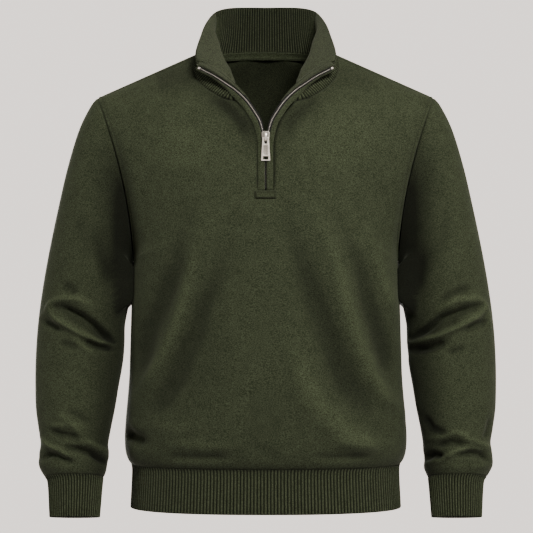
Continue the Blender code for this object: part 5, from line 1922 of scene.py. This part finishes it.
# ---------------------------------------------------------------- slider and pull tab
@dataclass
class Metalwork(Garment):
    """The slider with its bridge, and the pull tab that hangs from it."""

    slider_rows: tuple[tuple[float, float], ...] = (
        # height, half width
        (-118.0, 3.9), (-118.7, 5.2), (-120.2, 6.0), (-125.0, 6.0), (-129.5, 5.0), (-132.2, 4.4), (-133.0, 3.8),
    )
    slider_front: float = -113.3
    slider_depth: float = 2.4
    rear_rows: tuple[tuple[float, float], ...] = ((-118.0, 3.2), (-118.9, 4.5), (-126.1, 4.5), (-127.0, 3.2))
    rear_front: float = -104.1
    rear_depth: float = 1.4
    post: tuple[float, float, float] = (2.0, 8.4, 3.0)
    post_middle: tuple[float, float, float] = (0.0, -107.5, -120.3)
    bridge_top: float = -119.0
    bridge_bottom: float = -132.6
    bridge_reach: float = 5.2
    bridge_wall: float = 1.2
    bridge_width: float = 3.0
    bridge_fullness: float = 0.45
    tab_axis: tuple[float, float] = (-115.6, -128.0)
    tab_depth: float = 1.6
    tab_rows: tuple[tuple[float, float, float], ...] = (
        # below the axis, half width, half width of the slot, panel or window
        (1.1, 4.3, 2.2), (0.5, 4.7, 2.2), (-1.1, 4.8, 2.2), (-8.4, 5.2, 2.2), (-10.4, 5.3, 3.5),
        (-25.0, 6.2, 3.5), (-26.6, 6.3, 3.8), (-31.4, 6.6, 3.8), (-32.6, 6.7, 3.8), (-33.0, 6.3, 3.6),
    )
    slot_row: int = 2
    panel_row: int = 4
    window_row: int = 6
    panel_rim: float = 0.45
    panel_depth: float = 0.5
    edge_round: float = 0.32

    def plate(self, rows: np.ndarray, front: float, depth: float, holes: tuple[int, ...],
              panel: int | None) -> bmesh.types.BMesh:
        """A flat plate with rounded edges.

        Args:
            rows: Height and the places across at each row.
            front: Where its front face lies along Y.
            depth: Its thickness.
            holes: Rows whose middle is left open.
            panel: Row whose middle is sunk, if any.

        Returns:
            The mesh, in metres.
        """
        bm = bmesh.new()
        verts = [[bm.verts.new((x * MM, front * MM, row[0] * MM)) for x in row[1:]] for row in rows]
        middle = (len(verts[0]) - 2) // 2
        sunk = []
        for r in range(len(verts) - 1):
            for c in range(len(verts[0]) - 1):
                if r in holes and c == middle:
                    continue
                face = bm.faces.new((verts[r][c], verts[r + 1][c], verts[r + 1][c + 1], verts[r][c + 1]))
                if r == panel and c == middle:
                    sunk.append(face)
        pull_out(bm, bm.faces[:], (0.0, depth * MM, 0.0))
        for face in sunk:
            face.material_index = 1
        if sunk:
            rim = bmesh.ops.inset_individual(bm, faces=sunk, thickness=self.panel_rim * MM,
                                             depth=-self.panel_depth * MM)
            for face in rim["faces"]:
                face.material_index = 0
        round_off(bm, sharp_edges(bm, 0.6), self.edge_round, 3, True)
        return bm

    def bridge(self) -> bmesh.types.BMesh:
        """The arch that holds the tab.

        Returns:
            The mesh, in metres.
        """
        middle = (self.bridge_top + self.bridge_bottom) / 2
        half = (self.bridge_top - self.bridge_bottom) / 2
        bm = bmesh.new()
        loop = []
        outer = np.linspace(0.0, math.pi, 17)
        for inwards, turns in ((0.0, outer), (self.bridge_wall, outer[::-1])):
            reach, tall = self.bridge_reach - inwards, half - inwards
            for turn in turns:
                bulge = max(math.sin(turn), 0.0) ** self.bridge_fullness
                front = self.slider_front + 0.4 - (reach + 0.4) * bulge
                place = (-self.bridge_width / 2, front, middle + tall * math.cos(turn))
                loop.append(bm.verts.new(Vector(place) * MM))
        pull_out(bm, [bm.faces.new(loop)], (self.bridge_width * MM, 0.0, 0.0))
        round_off(bm, sharp_edges(bm, 1.2), 0.3, 2, True)
        return bm

    def slider(self) -> None:
        """Make the slider."""
        rows, rear = (np.array([(z, -half, -half / 3, half / 3, half) for z, half in table])
                      for table in (self.slider_rows, self.rear_rows))
        arch = self.bridge()
        for face in arch.faces:
            face.material_index = 1
        post = block(self.post)
        bmesh.ops.translate(post, vec=Vector(self.post_middle) * MM, verts=post.verts)
        parts = [
            self.plate(rows, self.slider_front, self.slider_depth, (), None),
            arch,
            self.plate(rear, self.rear_front, self.rear_depth, (), None),
            post,
        ]
        obj = as_object("slider_metal", join_all(parts), BODY_METAL.build())
        obj.data.materials.append(ZIP_METAL.build())
        self.hand_over(obj, "zip_slider", "metal")

    def tab(self) -> None:
        """Make the pull tab."""
        y, z = self.tab_axis
        rows = np.array([(z + below, -half, -hole, hole, half) for below, half, hole in self.tab_rows])
        holes = (self.slot_row, self.window_row)
        bm = self.plate(rows, y - self.tab_depth / 2, self.tab_depth, holes, self.panel_row)
        obj = as_object("pull_tab_metal", bm, ZIP_METAL.build())
        obj.data.materials.append(PANEL_METAL.build())
        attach(obj, "pull_tab")
        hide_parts("pull_tab")
        LOG.info("%s: %d faces", obj.name, len(obj.data.polygons))

    def build(self) -> None:
        """Make both."""
        self.slider()
        self.tab()


# ---------------------------------------------------------------- stitches
@dataclass
class Stitching(Garment):
    """Rows of single stitches laid on the cloth."""

    lines: list[SeamLine]
    length: float = 2.6
    gap: float = 0.9
    thread: float = 0.3
    proud: float = 0.05

    def stitch(self) -> bmesh.types.BMesh:
        """One stitch at the origin, along X.

        Returns:
            The mesh, in metres.
        """
        bm = bmesh.new()
        bmesh.ops.create_cone(bm, cap_ends=True, segments=6, radius1=self.thread * MM, radius2=self.thread * MM,
                              depth=self.length * MM)
        bmesh.ops.rotate(bm, verts=bm.verts, matrix=Matrix.Rotation(math.pi / 2, 3, "Y"))
        return bm

    def row(self, line: SeamLine) -> None:
        """Make a row of stitches along a line.

        Args:
            line: Where it runs.
        """
        run = run_of(line.points)
        count = int(run[-1] / (self.length + self.gap))
        parts = []
        for start in (np.arange(count) + 0.5) * run[-1] / count:
            here, ahead = (np.array([np.interp(at, run, line.points[:, a]) for a in range(3)])
                           for at in (start - 1.0, start + 1.0))
            out = unit(np.array([np.interp(start, run, line.normals[:, a]) for a in range(3)]))
            along = unit(ahead - here)
            side = unit(np.cross(out, along))
            turn = Matrix((Vector(along), Vector(side), Vector(np.cross(along, side)))).transposed().to_4x4()
            middle = (here + ahead) / 2 + out * self.proud
            bm = self.stitch()
            bmesh.ops.transform(bm, matrix=Matrix.Translation(Vector(middle * MM)) @ turn, verts=bm.verts)
            parts.append(bm)
        obj = as_object("stitches_" + line.name, join_all(parts), THREAD.build())
        self.hand_over(obj, None, "knit")

    def build(self) -> None:
        """Make every row."""
        for line in self.lines:
            self.row(line)


# ---------------------------------------------------------------- studio
@dataclass
class Studio:
    """Pale floor and surroundings, soft lights and the camera."""

    distance: float = 3.2
    height: float = -0.314
    frame_width: float = 0.7995
    centre_x: float = 0.0012
    floor_height: float = -1.35
    floor_size: float = 9.0
    pale: tuple[float, float, float] = (0.80, 0.729, 0.674)
    air_strength: float = 2.15
    floor_glow: float = 1.7

    def floor(self) -> None:
        """Make the plain floor, well below the garment."""
        bm = bmesh.new()
        bmesh.ops.create_grid(bm, x_segments=1, y_segments=1, size=self.floor_size / 2)
        bmesh.ops.translate(bm, vec=(0.0, 0.0, self.floor_height), verts=bm.verts)
        material, _, _ = new_finish("studio_floor_paint", {
            "Base Color": (*self.pale, 1.0),
            "Roughness": 0.9,
            "Specular IOR Level": 0.1,
            "Emission Color": (*self.pale, 1.0),
            "Emission Strength": self.floor_glow,
        })
        floor = as_object("studio_floor", bm, material)
        floor.visible_diffuse = False

    def surroundings(self) -> None:
        """Make the pale air round the set, which is seen and mirrored and lights no cloth."""
        world = bpy.data.worlds.new("studio_air")
        bpy.context.scene.world = world
        world.use_nodes = True
        air = world.node_tree.nodes["Background"]
        air.inputs["Color"].default_value = (*self.pale, 1.0)
        air.inputs["Strength"].default_value = self.air_strength
        world.cycles_visibility.diffuse = False

    def light(self, name: str, place: tuple[float, float, float], target: tuple[float, float, float],
              size: float, power: float, color: tuple[float, float, float] = (1.0, 1.0, 1.0)) -> None:
        """Add a soft square light.

        Args:
            name: Name of the light.
            place: Where it stands.
            target: What it points at.
            size: Side of the square, in metres.
            power: Power in watts.
            color: Its colour.
        """
        data = bpy.data.lights.new(name, "AREA")
        data.size = size
        data.energy = power
        data.color = color
        obj = bpy.data.objects.new(name, data)
        obj.location = place
        aim = Vector(target) - Vector(place)
        obj.rotation_euler = aim.to_track_quat("-Z", "Y").to_euler()
        bpy.context.scene.collection.objects.link(obj)

    def camera(self) -> None:
        """Place the camera straight in front."""
        data = bpy.data.cameras.new("camera")
        data.sensor_width = 36.0
        data.lens = 36.0 * self.distance / self.frame_width
        obj = bpy.data.objects.new("camera", data)
        obj.location = (self.centre_x, -self.distance, self.height)
        obj.rotation_euler = (math.pi / 2, 0.0, 0.0)
        bpy.context.scene.collection.objects.link(obj)
        bpy.context.scene.camera = obj

    def build(self) -> None:
        """Make the studio."""
        self.floor()
        self.surroundings()
        middle = (0.0, 0.0, -0.3)
        self.light("key", (0.7, -2.2, 1.05), middle, 0.7, 79.0, (1.0, 0.985, 0.96))
        self.light("side_right", (3.0, -0.9, 0.5), middle, 0.9, 14.0)
        self.light("side_left", (-3.0, -0.9, 0.5), middle, 0.9, 24.0)
        self.light("back", (-1.2, 3.0, -0.3), middle, 1.4, 115.0)
        self.camera()


def main() -> None:
    """Build every sub-assembly in order."""
    logging.basicConfig(level=logging.INFO, format="%(name)s %(message)s")
    Studio().build()
    body, fastening = Body(), ZipFastening()
    for part in (body, Sleeve(left=True), Sleeve(left=False), Hem(), Collar(), fastening, Metalwork()):
        part.build()
    Stitching(body.lines + [fastening.bar_line()]).build()
    bpy.context.view_layer.update()


if __name__ == "__main__":
    main()
